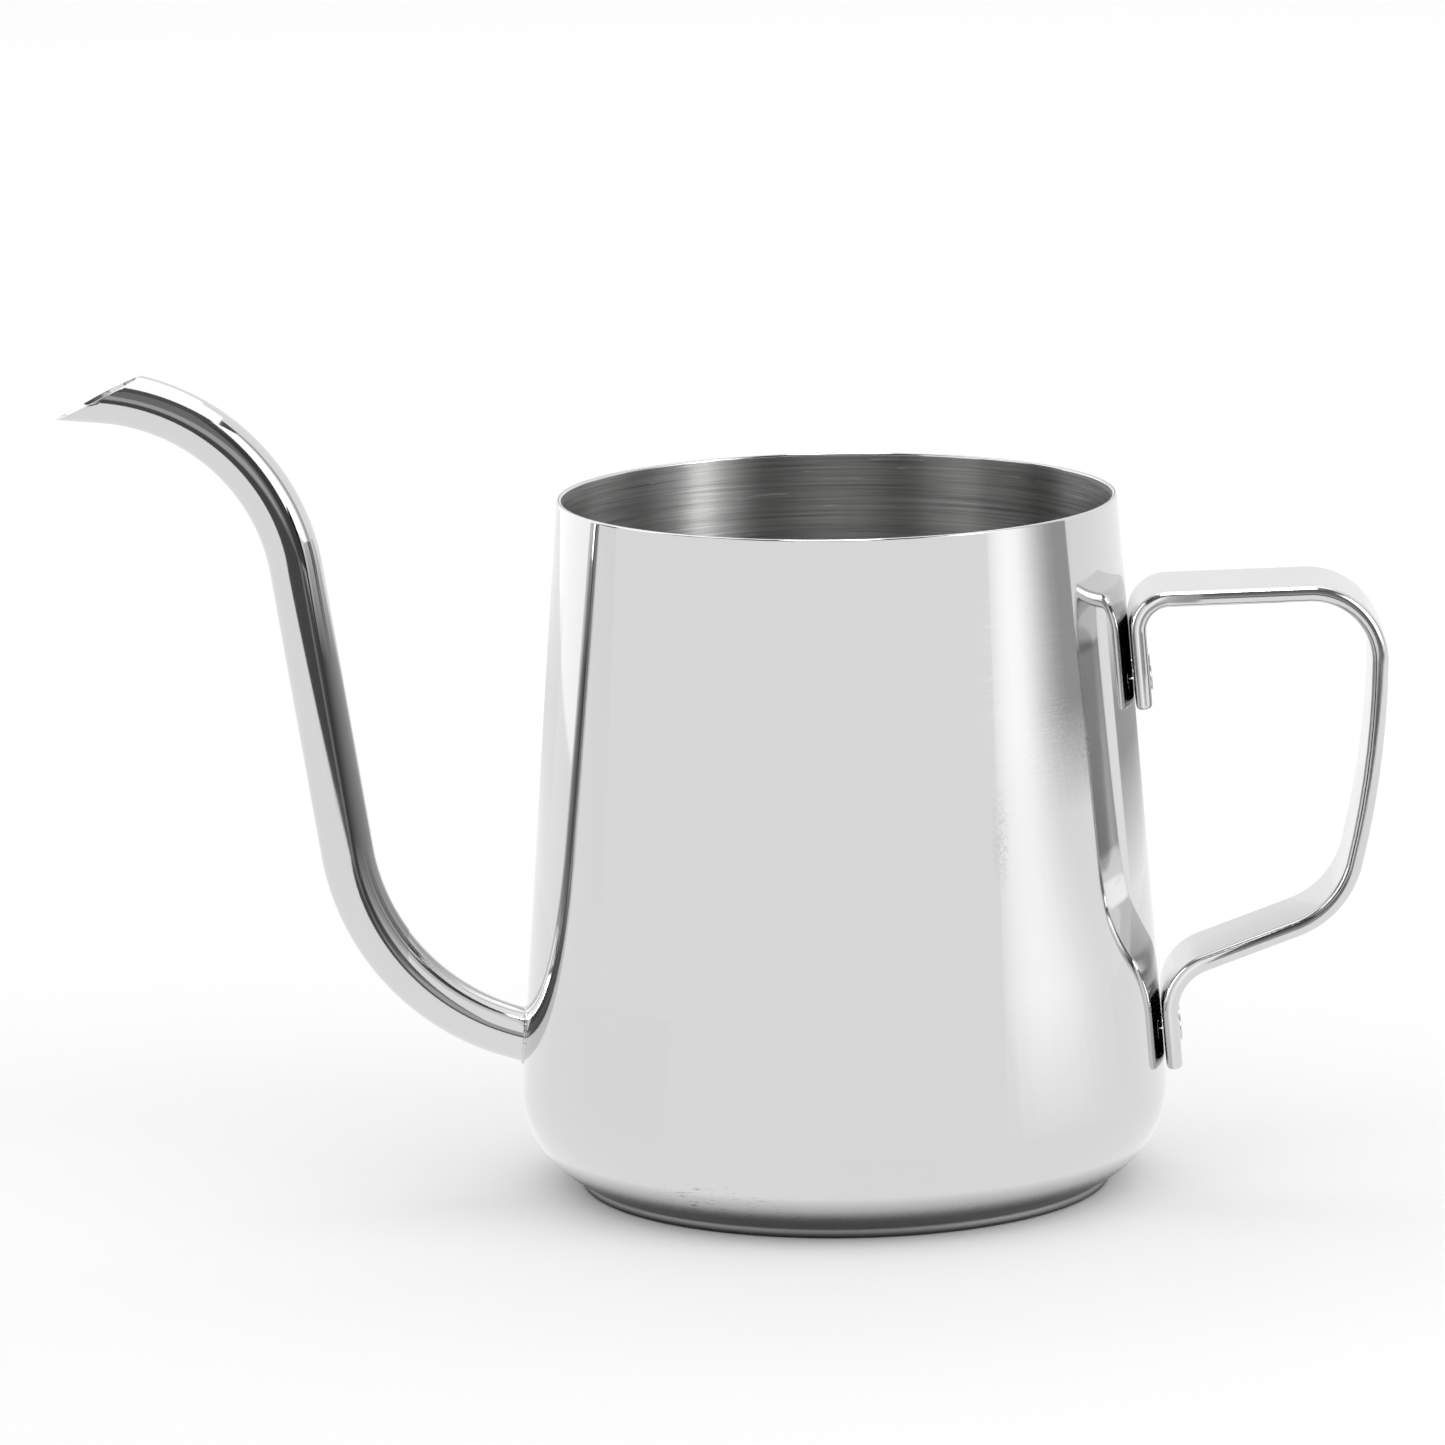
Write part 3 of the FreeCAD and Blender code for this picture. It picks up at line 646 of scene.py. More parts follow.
@dataclass
class DrawnBody:
    """The shell: tapered wall, rounded corner, pressed foot, dished base and the port behind the spout."""

    height: float = 91.0 * MM
    mouth_radius: float = 36.5 * MM
    wall_angle: float = 4.35
    sheet: float = 0.7 * MM
    corner_radius: float = 12.0 * MM
    foot_radius: float = 34.8 * MM
    foot_step: float = 0.6 * MM
    foot_rounding: float = 0.5 * MM
    panel_radius: float = 28.0 * MM
    panel_rise: float = 0.6 * MM
    panel_slope_run: float = 2.0 * MM
    panel_rounding: float = 0.8 * MM
    rim_rounding: float = 0.3 * MM
    segments: int = 256
    wall_rings: int = 40
    rounding_steps: int = 5
    hold: float = 0.08 * MM
    wheel_radius: float = 40.0 * MM
    port_sides: int = 48
    # How far a face has to turn towards the axis, or upwards, to count as inside.
    inside_share: float = 0.5

    def lean(self) -> float:
        """Lean of the wall from upright, in radians."""
        return math.radians(self.wall_angle)

    def wall_radius(self, height: float) -> float:
        """Outside radius of the straight wall at a height."""
        return self.mouth_radius + (self.height - height) * math.tan(self.lean())

    def side(self, depth: float) -> list[Corner]:
        """One face of the wall, from the foot's step up to the rim.

        Args:
            depth: How far the face lies inside the outside face.

        Returns:
            Corners from the step to just below the rim, along the rounding and the straight wall.
        """
        centre_up = self.foot_step + self.corner_radius
        centre_across = self.wall_radius(centre_up) - self.corner_radius / math.cos(self.lean())
        radius = self.corner_radius - depth
        low = -math.acos((self.foot_radius - depth - centre_across) / radius)
        arc_steps = math.ceil(math.degrees(self.lean() - low) / FlatPen.ARC_STEP)
        arc = [low + (self.lean() - low) * step / arc_steps for step in range(arc_steps + 1)]
        corners = [
            Corner(centre_across + radius * math.cos(angle), centre_up + radius * math.sin(angle))
            for angle in arc
        ]
        foot_of_wall = corners[-1]
        top_across = self.mouth_radius - depth / math.cos(self.lean())
        for ring in range(1, self.wall_rings):
            share = ring / self.wall_rings
            corners.append(Corner(
                foot_of_wall.across + (top_across - foot_of_wall.across) * share,
                foot_of_wall.up + (self.height - foot_of_wall.up) * share,
            ))
        return corners

    def half_outline(self) -> list[Vector]:
        """The whole section on one side of the axis.

        Returns:
            Points from the middle of the base outside, over the rim, to the middle of the base inside.
        """
        outside = self.side(0.0)
        inside = self.side(self.sheet)
        rim_inside = self.mouth_radius - self.sheet / math.cos(self.lean())
        slope_foot = self.panel_radius - self.panel_slope_run
        floor = self.panel_rise + self.sheet
        corners = [
            Corner(0.0, self.panel_rise),
            Corner(slope_foot, self.panel_rise, self.panel_rounding),
            Corner(self.panel_radius, 0.0, self.panel_rounding),
            Corner(self.foot_radius, 0.0, self.foot_rounding),
            Corner(outside[0].across, outside[0].up, self.foot_rounding),
            *outside[1:],
            Corner(self.mouth_radius, self.height, self.rim_rounding),
            Corner(rim_inside, self.height, self.rim_rounding),
            *reversed(inside[1:]),
            Corner(inside[0].across, inside[0].up, self.foot_rounding),
            Corner(inside[0].across, self.sheet, self.foot_rounding),
            Corner(self.panel_radius, self.sheet, self.panel_rounding),
            Corner(slope_foot, floor, self.panel_rounding),
            Corner(0.0, floor),
        ]
        return rounded_outline(corners, self.rounding_steps, self.hold)

    def recipe(self) -> GeometryRecipe:
        """The recipe that turns the section and drills the port.

        Returns:
            The recipe, whose drawn line is the half outline.
        """
        recipe = GeometryRecipe("turned_shell", {
            "Segments": Socket.COUNT, "Wheel Radius": Socket.LENGTH, "Port Radius": Socket.LENGTH,
            "Port Length": Socket.LENGTH, "Port Place": Socket.VECTOR, "Port Turn": Socket.VECTOR,
        })
        shell = turned_mesh(recipe)
        drill = recipe.add("GeometryNodeMeshCylinder", {
            "Vertices": self.port_sides, "Radius": recipe.read("Port Radius"),
            "Depth": recipe.read("Port Length"),
        })
        placed = recipe.add("GeometryNodeTransform", {
            "Geometry": drill, "Translation": recipe.read("Port Place"), "Rotation": recipe.read("Port Turn"),
        })
        opened = recipe.add("GeometryNodeMeshBoolean", {"Mesh 1": shell, "Mesh 2": placed},
                            operation="DIFFERENCE", solver="EXACT")
        recipe.finish(opened)
        return recipe

    def faces_inwards(self, face: MeshPolygon) -> bool:
        """Tells the brushed inside from the polished outside.

        Args:
            face: Face of the shell.

        Returns:
            Whether the face belongs to the inside.
        """
        spoke = Vector((face.center.x, face.center.y, 0.0)).normalized()
        on_rim = face.center.z > self.height - self.rim_rounding
        turned_in = face.normal.dot(spoke) < -self.inside_share
        return not on_rim and (turned_in or face.normal.z > self.inside_share)

    def build(self, spout: "GooseneckSpout", polished: Material,
              brushed: Material) -> Object:
        """Makes and dresses the shell.

        Args:
            spout: Spout whose bore opens into the shell.
            polished: Finish of the outside.
            brushed: Finish of the inside.

        Returns:
            The finished piece.
        """
        piece = drawn_line("drawn_body", on_wheel(self.half_outline(), self.wheel_radius))
        self.recipe().attach(piece, {
            "Segments": self.segments,
            "Wheel Radius": self.wheel_radius,
            "Material": polished,
            "Port Radius": spout.bore_radius(),
            "Port Length": spout.port_length,
            "Port Place": spout.root(self),
            "Port Turn": (0.0, math.radians(spout.root_angle - 90.0), 0.0),
        })
        piece = made_mesh(piece)
        dress(piece.data, (polished, brushed))
        for face in piece.data.polygons:
            face.material_index = int(self.faces_inwards(face))
        hand_over(piece, "body_shell")
        return piece


@dataclass
class GooseneckSpout:
    """The bent tube, cut at a slant at its tip and to the wall at its root, and the weld round the root."""

    diameter: float = 7.0 * MM
    wall: float = 0.5 * MM
    root_height: float = 19.5 * MM
    root_angle: float = 17.0
    root_depth: float = 2.5 * MM
    root_run: float = 2.0 * MM
    lower_bend: float = 30.1 * MM
    riser_lean: float = 8.75
    riser_length: float = 38.1 * MM
    upper_bend: float = 27.4 * MM
    tip_angle: float = 4.8
    tip_run: float = 10.0 * MM
    tip_reach: float = 101.2 * MM
    tip_height: float = 102.3 * MM
    tip_cut_angle: float = 26.5
    tip_deburr: float = 0.06 * MM
    tip_deburr_steps: int = 2
    # Open edges this close to the cut belong to the tip, and those below this height to the root.
    tip_zone: float = 0.01 * MM
    root_zone: float = 39.0 * MM
    slide_rounds: int = 12
    riser_pieces: int = 8
    tip_pieces: int = 4
    port_length: float = 12.0 * MM
    sunk: float = 0.1 * MM
    sides: int = 64
    bead_radius: float = 0.3 * MM
    bead_sides: int = 12
    bead_points: int = 160
    ripple_pitch: float = 0.8 * MM
    ripple_share: float = 0.1

    def bore_radius(self) -> float:
        """Radius of the water way."""
        return self.diameter / 2 - self.wall

    def root(self, body: DrawnBody) -> Vector:
        """Where the spout's axis meets the outside of the wall."""
        return Vector((-body.wall_radius(self.root_height), 0.0, self.root_height))

    def axis(self) -> Vector:
        """Direction of the spout where it leaves the wall."""
        climb = math.radians(self.root_angle)
        return Vector((-math.cos(climb), 0.0, math.sin(climb)))

    def centre_line(self, body: DrawnBody) -> list[Vector]:
        """The tube's middle line, drawn flat.

        Args:
            body: Shell that the spout is welded to.

        Returns:
            Points from inside the wall to beyond the tip.
        """
        start = self.root(body) - self.axis() * self.root_depth
        root_heading = 180.0 - self.root_angle
        riser_heading = 90.0 + self.riser_lean
        pen = FlatPen((start.x, start.z), root_heading)
        pen.run(self.root_depth + self.root_run)
        pen.bend(self.lower_bend, riser_heading - root_heading)
        pen.run(self.riser_length, pieces=self.riser_pieces)
        pen.bend(self.upper_bend, 180.0 - self.tip_angle - riser_heading)
        pen.run(self.tip_run, pieces=self.tip_pieces)
        return pen.points

    def tube_recipe(self) -> GeometryRecipe:
        """The recipe that draws both faces of a tube along a flat line and stands it upright.

        Returns:
            The recipe, whose drawn line is the tube's middle line.
        """
        recipe = GeometryRecipe("bent_tube", {
            "Outside Radius": Socket.LENGTH, "Bore Radius": Socket.LENGTH, "Sides": Socket.COUNT,
        })
        line = recipe.add("GeometryNodeSetCurveNormal", {"Curve": recipe.read("Line")}, mode="Z_UP")
        faces = []
        for radius in ("Outside Radius", "Bore Radius"):
            ring = recipe.add("GeometryNodeCurvePrimitiveCircle", {
                "Resolution": recipe.read("Sides"), "Radius": recipe.read(radius),
            })
            faces.append(recipe.add("GeometryNodeCurveToMesh", {"Curve": line, "Profile Curve": ring}))
        bore = recipe.add("GeometryNodeFlipFaces", {"Mesh": faces[1]})
        both = add_node(recipe.tree, "GeometryNodeJoinGeometry")
        for part in (faces[0], bore):
            recipe.tree.links.new(part, both.inputs[0])
        recipe.finish(recipe.add("GeometryNodeTransform", {
            "Geometry": both.outputs[0], "Rotation": (math.pi / 2, 0.0, 0.0),
        }))
        return recipe

    def slide_to_wall(self, spot: Vector, body: DrawnBody, depth: float) -> Vector:
        """Slides a point along the spout's root until it meets the wall.

        Args:
            spot: Point on the tube's end.
            body: Shell with the wall.
            depth: How far inside the wall's outside the point comes to rest.

        Returns:
            The point on the wall.
        """
        moved = spot.copy()
        for _ in range(self.slide_rounds):
            gap = math.hypot(moved.x, moved.y) - (body.wall_radius(moved.z) - depth)
            moved -= self.axis() * gap
        return moved

    def trim(self, mesh: Mesh, body: DrawnBody) -> None:
        """Cuts the tip at a slant, fits the root to the wall and closes both ends.

        Args:
            mesh: Mesh of both faces of the tube.
            body: Shell that the spout is welded to.
        """
        slope = math.radians(self.tip_cut_angle)
        lip = Vector((-self.tip_reach, 0.0, self.tip_height))
        outwards = Vector((-math.sin(slope), 0.0, math.cos(slope)))
        work = bmesh.new()
        work.from_mesh(mesh)
        bmesh.ops.bisect_plane(work, geom=[*work.verts, *work.edges, *work.faces], dist=WELD_DISTANCE,
                               plane_co=lip, plane_no=outwards, clear_outer=True)
        open_edges = [edge for edge in work.edges if edge.is_boundary]
        tip_edges = [
            edge for edge in open_edges if abs((edge.verts[0].co - lip).dot(outwards)) < self.tip_zone
        ]
        root_edges = [edge for edge in open_edges if edge.verts[0].co.z < self.root_zone]
        for vert in {vert for edge in root_edges for vert in edge.verts}:
            vert.co = self.slide_to_wall(vert.co, body, self.sunk)
        bmesh.ops.bridge_loops(work, edges=root_edges)
        bmesh.ops.bridge_loops(work, edges=tip_edges)
        bmesh.ops.bevel(work, geom=tip_edges, offset=self.tip_deburr, segments=self.tip_deburr_steps,
                        affect="EDGES", profile=0.5)
        bmesh.ops.recalc_face_normals(work, faces=work.faces)
        work.to_mesh(mesh)
        work.free()

    def build_tube(self, body: DrawnBody, polished: Material) -> Object:
        """Makes and dresses the tube.

        Args:
            body: Shell that the spout is welded to.
            polished: Finish of the tube.

        Returns:
            The finished piece.
        """
        piece = drawn_line("gooseneck_tube", self.centre_line(body))
        self.tube_recipe().attach(piece, {
            "Outside Radius": self.diameter / 2,
            "Bore Radius": self.bore_radius(),
            "Sides": self.sides,
            "Material": polished,
        })
        piece = made_mesh(piece)
        self.trim(piece.data, body)
        dress(piece.data, (polished,))
        hand_over(piece, "spout_tube")
        return piece

    def seam(self, body: DrawnBody) -> list[Vector]:
        """The line where the tube's outside meets the wall.

        Args:
            body: Shell that the spout is welded to.

        Returns:
            Points round the seam.
        """
        across = Vector((0.0, 1.0, 0.0))
        upwards = self.axis().cross(across)
        ring = []
        for number in range(self.bead_points):
            angle = FULL_TURN * number / self.bead_points
            spoke = across * math.cos(angle) + upwards * math.sin(angle)
            ring.append(self.slide_to_wall(self.root(body) + spoke * self.diameter / 2, body, 0.0))
        return ring

    def bead_recipe(self) -> GeometryRecipe:
        """The recipe that lays a rippled bead along a seam.

        Returns:
            The recipe, whose drawn line is the seam.
        """
        recipe = GeometryRecipe("weld_bead", {
            "Bead Radius": Socket.LENGTH, "Sides": Socket.COUNT,
            "Ripple Pitch": Socket.LENGTH, "Ripple Share": Socket.LENGTH,
        })
        length = add_node(recipe.tree, "GeometryNodeSplineParameter").outputs["Length"]
        turns = recipe.add("ShaderNodeMath", {0: length, 1: recipe.read("Ripple Pitch")}, operation="DIVIDE")
        phase = recipe.add("ShaderNodeMath", {0: turns, 1: FULL_TURN}, operation="MULTIPLY")
        wave = recipe.add("ShaderNodeMath", {0: phase}, operation="SINE")
        swell = recipe.add("ShaderNodeMath", {0: wave, 1: recipe.read("Ripple Share"), 2: 1.0},
                           operation="MULTIPLY_ADD")
        ring = recipe.add("GeometryNodeCurvePrimitiveCircle", {
            "Resolution": recipe.read("Sides"), "Radius": recipe.read("Bead Radius"),
        })
        recipe.finish(recipe.add("GeometryNodeCurveToMesh", {
            "Curve": recipe.read("Line"), "Profile Curve": ring, "Scale": swell,
        }))
        return recipe

    def build_bead(self, body: DrawnBody, weld: Material) -> Object:
        """Makes and dresses the weld round the root.

        Args:
            body: Shell that the spout is welded to.
            weld: Finish of the weld.

        Returns:
            The finished piece.
        """
        piece = drawn_line("spout_root_weld", self.seam(body), closed=True)
        self.bead_recipe().attach(piece, {
            "Bead Radius": self.bead_radius,
            "Sides": self.bead_sides,
            "Ripple Pitch": self.ripple_pitch,
            "Ripple Share": self.ripple_share,
            "Material": weld,
        })
        piece = made_mesh(piece)
        dress(piece.data, (weld,))
        hand_over(piece, "spout_weld_bead")
        return piece


@dataclass
class StrapHandle:
    """The bent strap with half-round edges, and the plug welds that hold its legs to the wall."""

    width: float = 17.0 * MM
    thickness: float = 2.1 * MM
    gap: float = 0.05 * MM
    end_rounding: float = 0.7 * MM
    upper_leg_end: float = 63.5 * MM
    lower_leg_end: float = 15.7 * MM
    upper_leg_bend: float = 4.1 * MM
    top_bar_height: float = 78.0 * MM
    top_bar_slope: float = 1.6
    top_corner_bend: float = 9.0 * MM
    grip_radius: float = 121.0 * MM
    grip_reach: float = 70.3 * MM
    grip_height: float = 71.6 * MM
    lower_corner_bend: float = 12.2 * MM
    slant_angle: float = 20.4
    slant_height: float = 29.75 * MM
    lower_leg_bend: float = 6.8 * MM
    edge_steps: int = 24
    end_steps: int = 4
    end_angle: float = 60.0
    bar_pieces: int = 4
    leg_pieces: int = 2
    hold: float = 0.15 * MM
    weld_diameter: float = 3.4 * MM
    weld_neck_radius: float = 0.15 * MM
    # How far a plug stands proud of the strap's back, so that its hole is cut clean through.
    weld_seat: float = 0.02 * MM
    weld_spacing: float = 8.0 * MM
    weld_crown: float = 0.3 * MM
    weld_rounding: float = 0.25 * MM
    weld_sunk: float = 0.3 * MM
    weld_segments: int = 48
    weld_rounding_steps: int = 6
    weld_hold: float = 0.015 * MM
    upper_weld_height: float = 67.0 * MM
    lower_weld_height: float = 20.4 * MM

    def leg_across(self, body: DrawnBody, height: float) -> float:
        """Where the strap's middle line stands at a height along a leg."""
        return body.wall_radius(height) + (self.gap + self.thickness / 2) / math.cos(body.lean())

    @staticmethod
    def reach(start: Vector, heading: float, centre: Vector, radius: float) -> float:
        """How far a straight line runs until it leaves a circle.

        Args:
            start: Where the line starts.
            heading: Its heading in degrees.
            centre: Centre of the circle.
            radius: Radius of the circle.

        Returns:
            The length of the line.
        """
        offset = start - centre
        along = offset.dot(FlatPen.toward(heading))
        return math.sqrt(along ** 2 - offset.length_squared + radius ** 2) - along

    def centre_line(self, body: DrawnBody) -> list[Vector]:
        """The strap's middle line, drawn flat.

        Args:
            body: Shell that the strap is welded to.

        Returns:
            Points from the end of the upper leg, round the grip, to the end of the lower leg.
        """
        toward = FlatPen.toward
        leg_heading = 90.0 + body.wall_angle
        bar_heading = self.top_bar_slope
        slant_heading = self.slant_angle - 180.0
        grip_centre = Vector((self.grip_reach - self.grip_radius, self.grip_height))

        # Each bend's middle stands square to the straight run before it and to the one after it.
        pen = FlatPen((self.leg_across(body, self.upper_leg_end), self.upper_leg_end), leg_heading)
        rise = self.upper_leg_bend * (toward(leg_heading - 90.0) + toward(bar_heading + 90.0)).y
        leg_rise = self.top_bar_height - self.upper_leg_end - rise
        pen.run(leg_rise / toward(leg_heading).y, pieces=self.leg_pieces)
        pen.bend(self.upper_leg_bend, bar_heading - leg_heading)

        top_middle = pen.points[-1] + toward(bar_heading - 90.0) * self.top_corner_bend
        bar_length = self.reach(top_middle, bar_heading, grip_centre, self.grip_radius - self.top_corner_bend)
        top_spoke = top_middle + toward(bar_heading) * bar_length - grip_centre
        grip_top = math.degrees(math.atan2(top_spoke.y, top_spoke.x))

        lower_turn = leg_heading - 180.0 - slant_heading
        step = self.lower_leg_bend * (toward(slant_heading + 90.0) + toward(leg_heading + 90.0))
        leg_top = self.slant_height + step.y
        slant_foot = Vector((self.leg_across(body, leg_top) - step.x, self.slant_height))
        low_middle = slant_foot + toward(slant_heading - 90.0) * self.lower_corner_bend
        slant_length = self.reach(low_middle, self.slant_angle, grip_centre,
                                  self.grip_radius - self.lower_corner_bend)
        low_spoke = low_middle + toward(self.slant_angle) * slant_length - grip_centre
        grip_foot = math.degrees(math.atan2(low_spoke.y, low_spoke.x))

        pen.run(bar_length, pieces=self.bar_pieces)
        pen.bend(self.top_corner_bend, grip_top - 90.0 - bar_heading)
        pen.bend(self.grip_radius, grip_foot - grip_top)
        pen.bend(self.lower_corner_bend, slant_heading - (grip_foot - 90.0))
        pen.run(slant_length, pieces=self.bar_pieces)
        pen.bend(self.lower_leg_bend, lower_turn)
        pen.run((leg_top - self.lower_leg_end) / math.cos(body.lean()), pieces=self.leg_pieces)
        return pen.points

    def section(self) -> list[Vector]:
        """The strap's section: a flat bar with half-round edges.

        Returns:
            Points round the section, thickness across and width up.
        """
        radius = self.thickness / 2
        flat = self.width / 2 - radius
        points = []
        for side in (1, -1):
            points.append(Vector((side * radius, side * (flat - self.hold))))
            for step in range(self.edge_steps + 1):
                spoke = FlatPen.toward(180.0 * step / self.edge_steps) * radius * side
                points.append(Vector((spoke.x, spoke.y + side * flat)))
            points.append(Vector((-side * radius, side * (flat - self.hold))))
        return points

    def strap_recipe(self) -> GeometryRecipe:
        """The recipe that sweeps a section along a flat line and stands it upright.

        Returns:
            The recipe, whose drawn line is the strap's middle line.
        """
        recipe = GeometryRecipe("bent_strap", {"Section": Socket.OBJECT})
        section = add_node(recipe.tree, "GeometryNodeObjectInfo", {"Object": recipe.read("Section")})
        line = recipe.add("GeometryNodeSetCurveNormal", {"Curve": recipe.read("Line")}, mode="Z_UP")
        swept = recipe.add("GeometryNodeCurveToMesh", {
            "Curve": line, "Profile Curve": section.outputs["Geometry"], "Fill Caps": True,
        })
        recipe.finish(recipe.add("GeometryNodeTransform", {
            "Geometry": swept, "Rotation": (math.pi / 2, 0.0, 0.0),
        }))
        return recipe

    def build_strap(self, body: DrawnBody, welds: Sequence[Object],
                    polished: Material) -> Object:
        """Makes and dresses the strap.

        Args:
            body: Shell that the strap is welded to.
            welds: Plug welds, whose holes the strap has.
            polished: Finish of the strap.

        Returns:
            The finished piece.
        """
        piece = drawn_line("strap_handle", self.centre_line(body))
        section = drawn_line("strap_section", self.section(), closed=True)
        self.strap_recipe().attach(piece, {"Section": section, "Material": polished})
        piece = made_mesh(piece)
        bpy.data.objects.remove(section)
        ends = piece.modifiers.new("rounded_ends", "BEVEL")
        ends.width = self.end_rounding
        ends.segments = self.end_steps
        ends.limit_method = "ANGLE"
        ends.angle_limit = math.radians(self.end_angle)
        for weld in welds:
            holes = piece.modifiers.new("weld_holes", "BOOLEAN")
            holes.object = weld
            holes.solver = "EXACT"
        piece = made_mesh(piece)
        dress(piece.data, (polished,))
        hand_over(piece, "handle_strap")
        return piece

    def weld_outline(self) -> list[Vector]:
        """Half the section of one plug weld, as radius and height above the wall.

        Returns:
            Points from the plug's foot in the wall to the middle of its crown.
        """
        seat = self.gap - self.weld_seat
        top = self.gap + self.thickness + self.weld_crown
        radius = self.weld_diameter / 2
        corners = [
            Corner(0.0, -self.weld_sunk),
            Corner(self.weld_neck_radius, -self.weld_sunk),
            Corner(self.weld_neck_radius, seat),
            Corner(radius, seat),
            Corner(radius, top, self.weld_rounding),
            Corner(0.0, top),
        ]
        return rounded_outline(corners, self.weld_rounding_steps, self.weld_hold)

    def weld_recipe(self) -> GeometryRecipe:
        """The recipe that turns one plug weld and sets a pair of them side by side.

        Returns:
            The recipe, whose drawn line is half the section of a plug.
        """
        recipe = GeometryRecipe("plug_weld_pair", {
            "Segments": Socket.COUNT, "Wheel Radius": Socket.LENGTH, "Place": Socket.VECTOR,
            "Turn": Socket.VECTOR, "Spacing": Socket.VECTOR,
        })
        plug = turned_mesh(recipe)
        half = recipe.add("ShaderNodeVectorMath", {0: recipe.read("Spacing"), "Scale": -0.5},
                          operation="SCALE")
        first = recipe.add("ShaderNodeVectorMath", {0: recipe.read("Place"), 1: half}, operation="ADD")
        pair = recipe.add("GeometryNodeMeshLine", {
            "Count": 2, "Start Location": first, "Offset": recipe.read("Spacing"),
        })
        recipe.finish(recipe.add("GeometryNodeInstanceOnPoints", {
            "Points": pair, "Instance": plug, "Rotation": recipe.read("Turn"),
        }))
        return recipe

    def build_welds(self, body: DrawnBody, weld: Material) -> list[Object]:
        """Makes and dresses the plug welds of both legs.

        Args:
            body: Shell that the strap is welded to.
            weld: Finish of the welds.

        Returns:
            The upper and the lower pair.
        """
        recipe = self.weld_recipe()
        pairs = []
        for leg, height in (("upper", self.upper_weld_height), ("lower", self.lower_weld_height)):
            outline = on_wheel(self.weld_outline(), self.weld_diameter)
            piece = drawn_line(f"{leg}_plug_welds", outline)
            recipe.attach(piece, {
                "Segments": self.weld_segments,
                "Wheel Radius": self.weld_diameter,
                "Place": (body.wall_radius(height), 0.0, height),
                "Turn": (0.0, math.pi / 2 - body.lean(), 0.0),
                "Spacing": (0.0, self.weld_spacing, 0.0),
                "Material": weld,
            })
            piece = made_mesh(piece)
            dress(piece.data, (weld,))
            hand_over(piece, f"{leg}_handle_welds")
            pairs.append(piece)
        return pairs


# Studio


@dataclass(frozen=True)
class Edge:
    """One edge of a curved panel: its height, and the angles of its ends from the X axis."""

    height: float
    first: float
    last: float


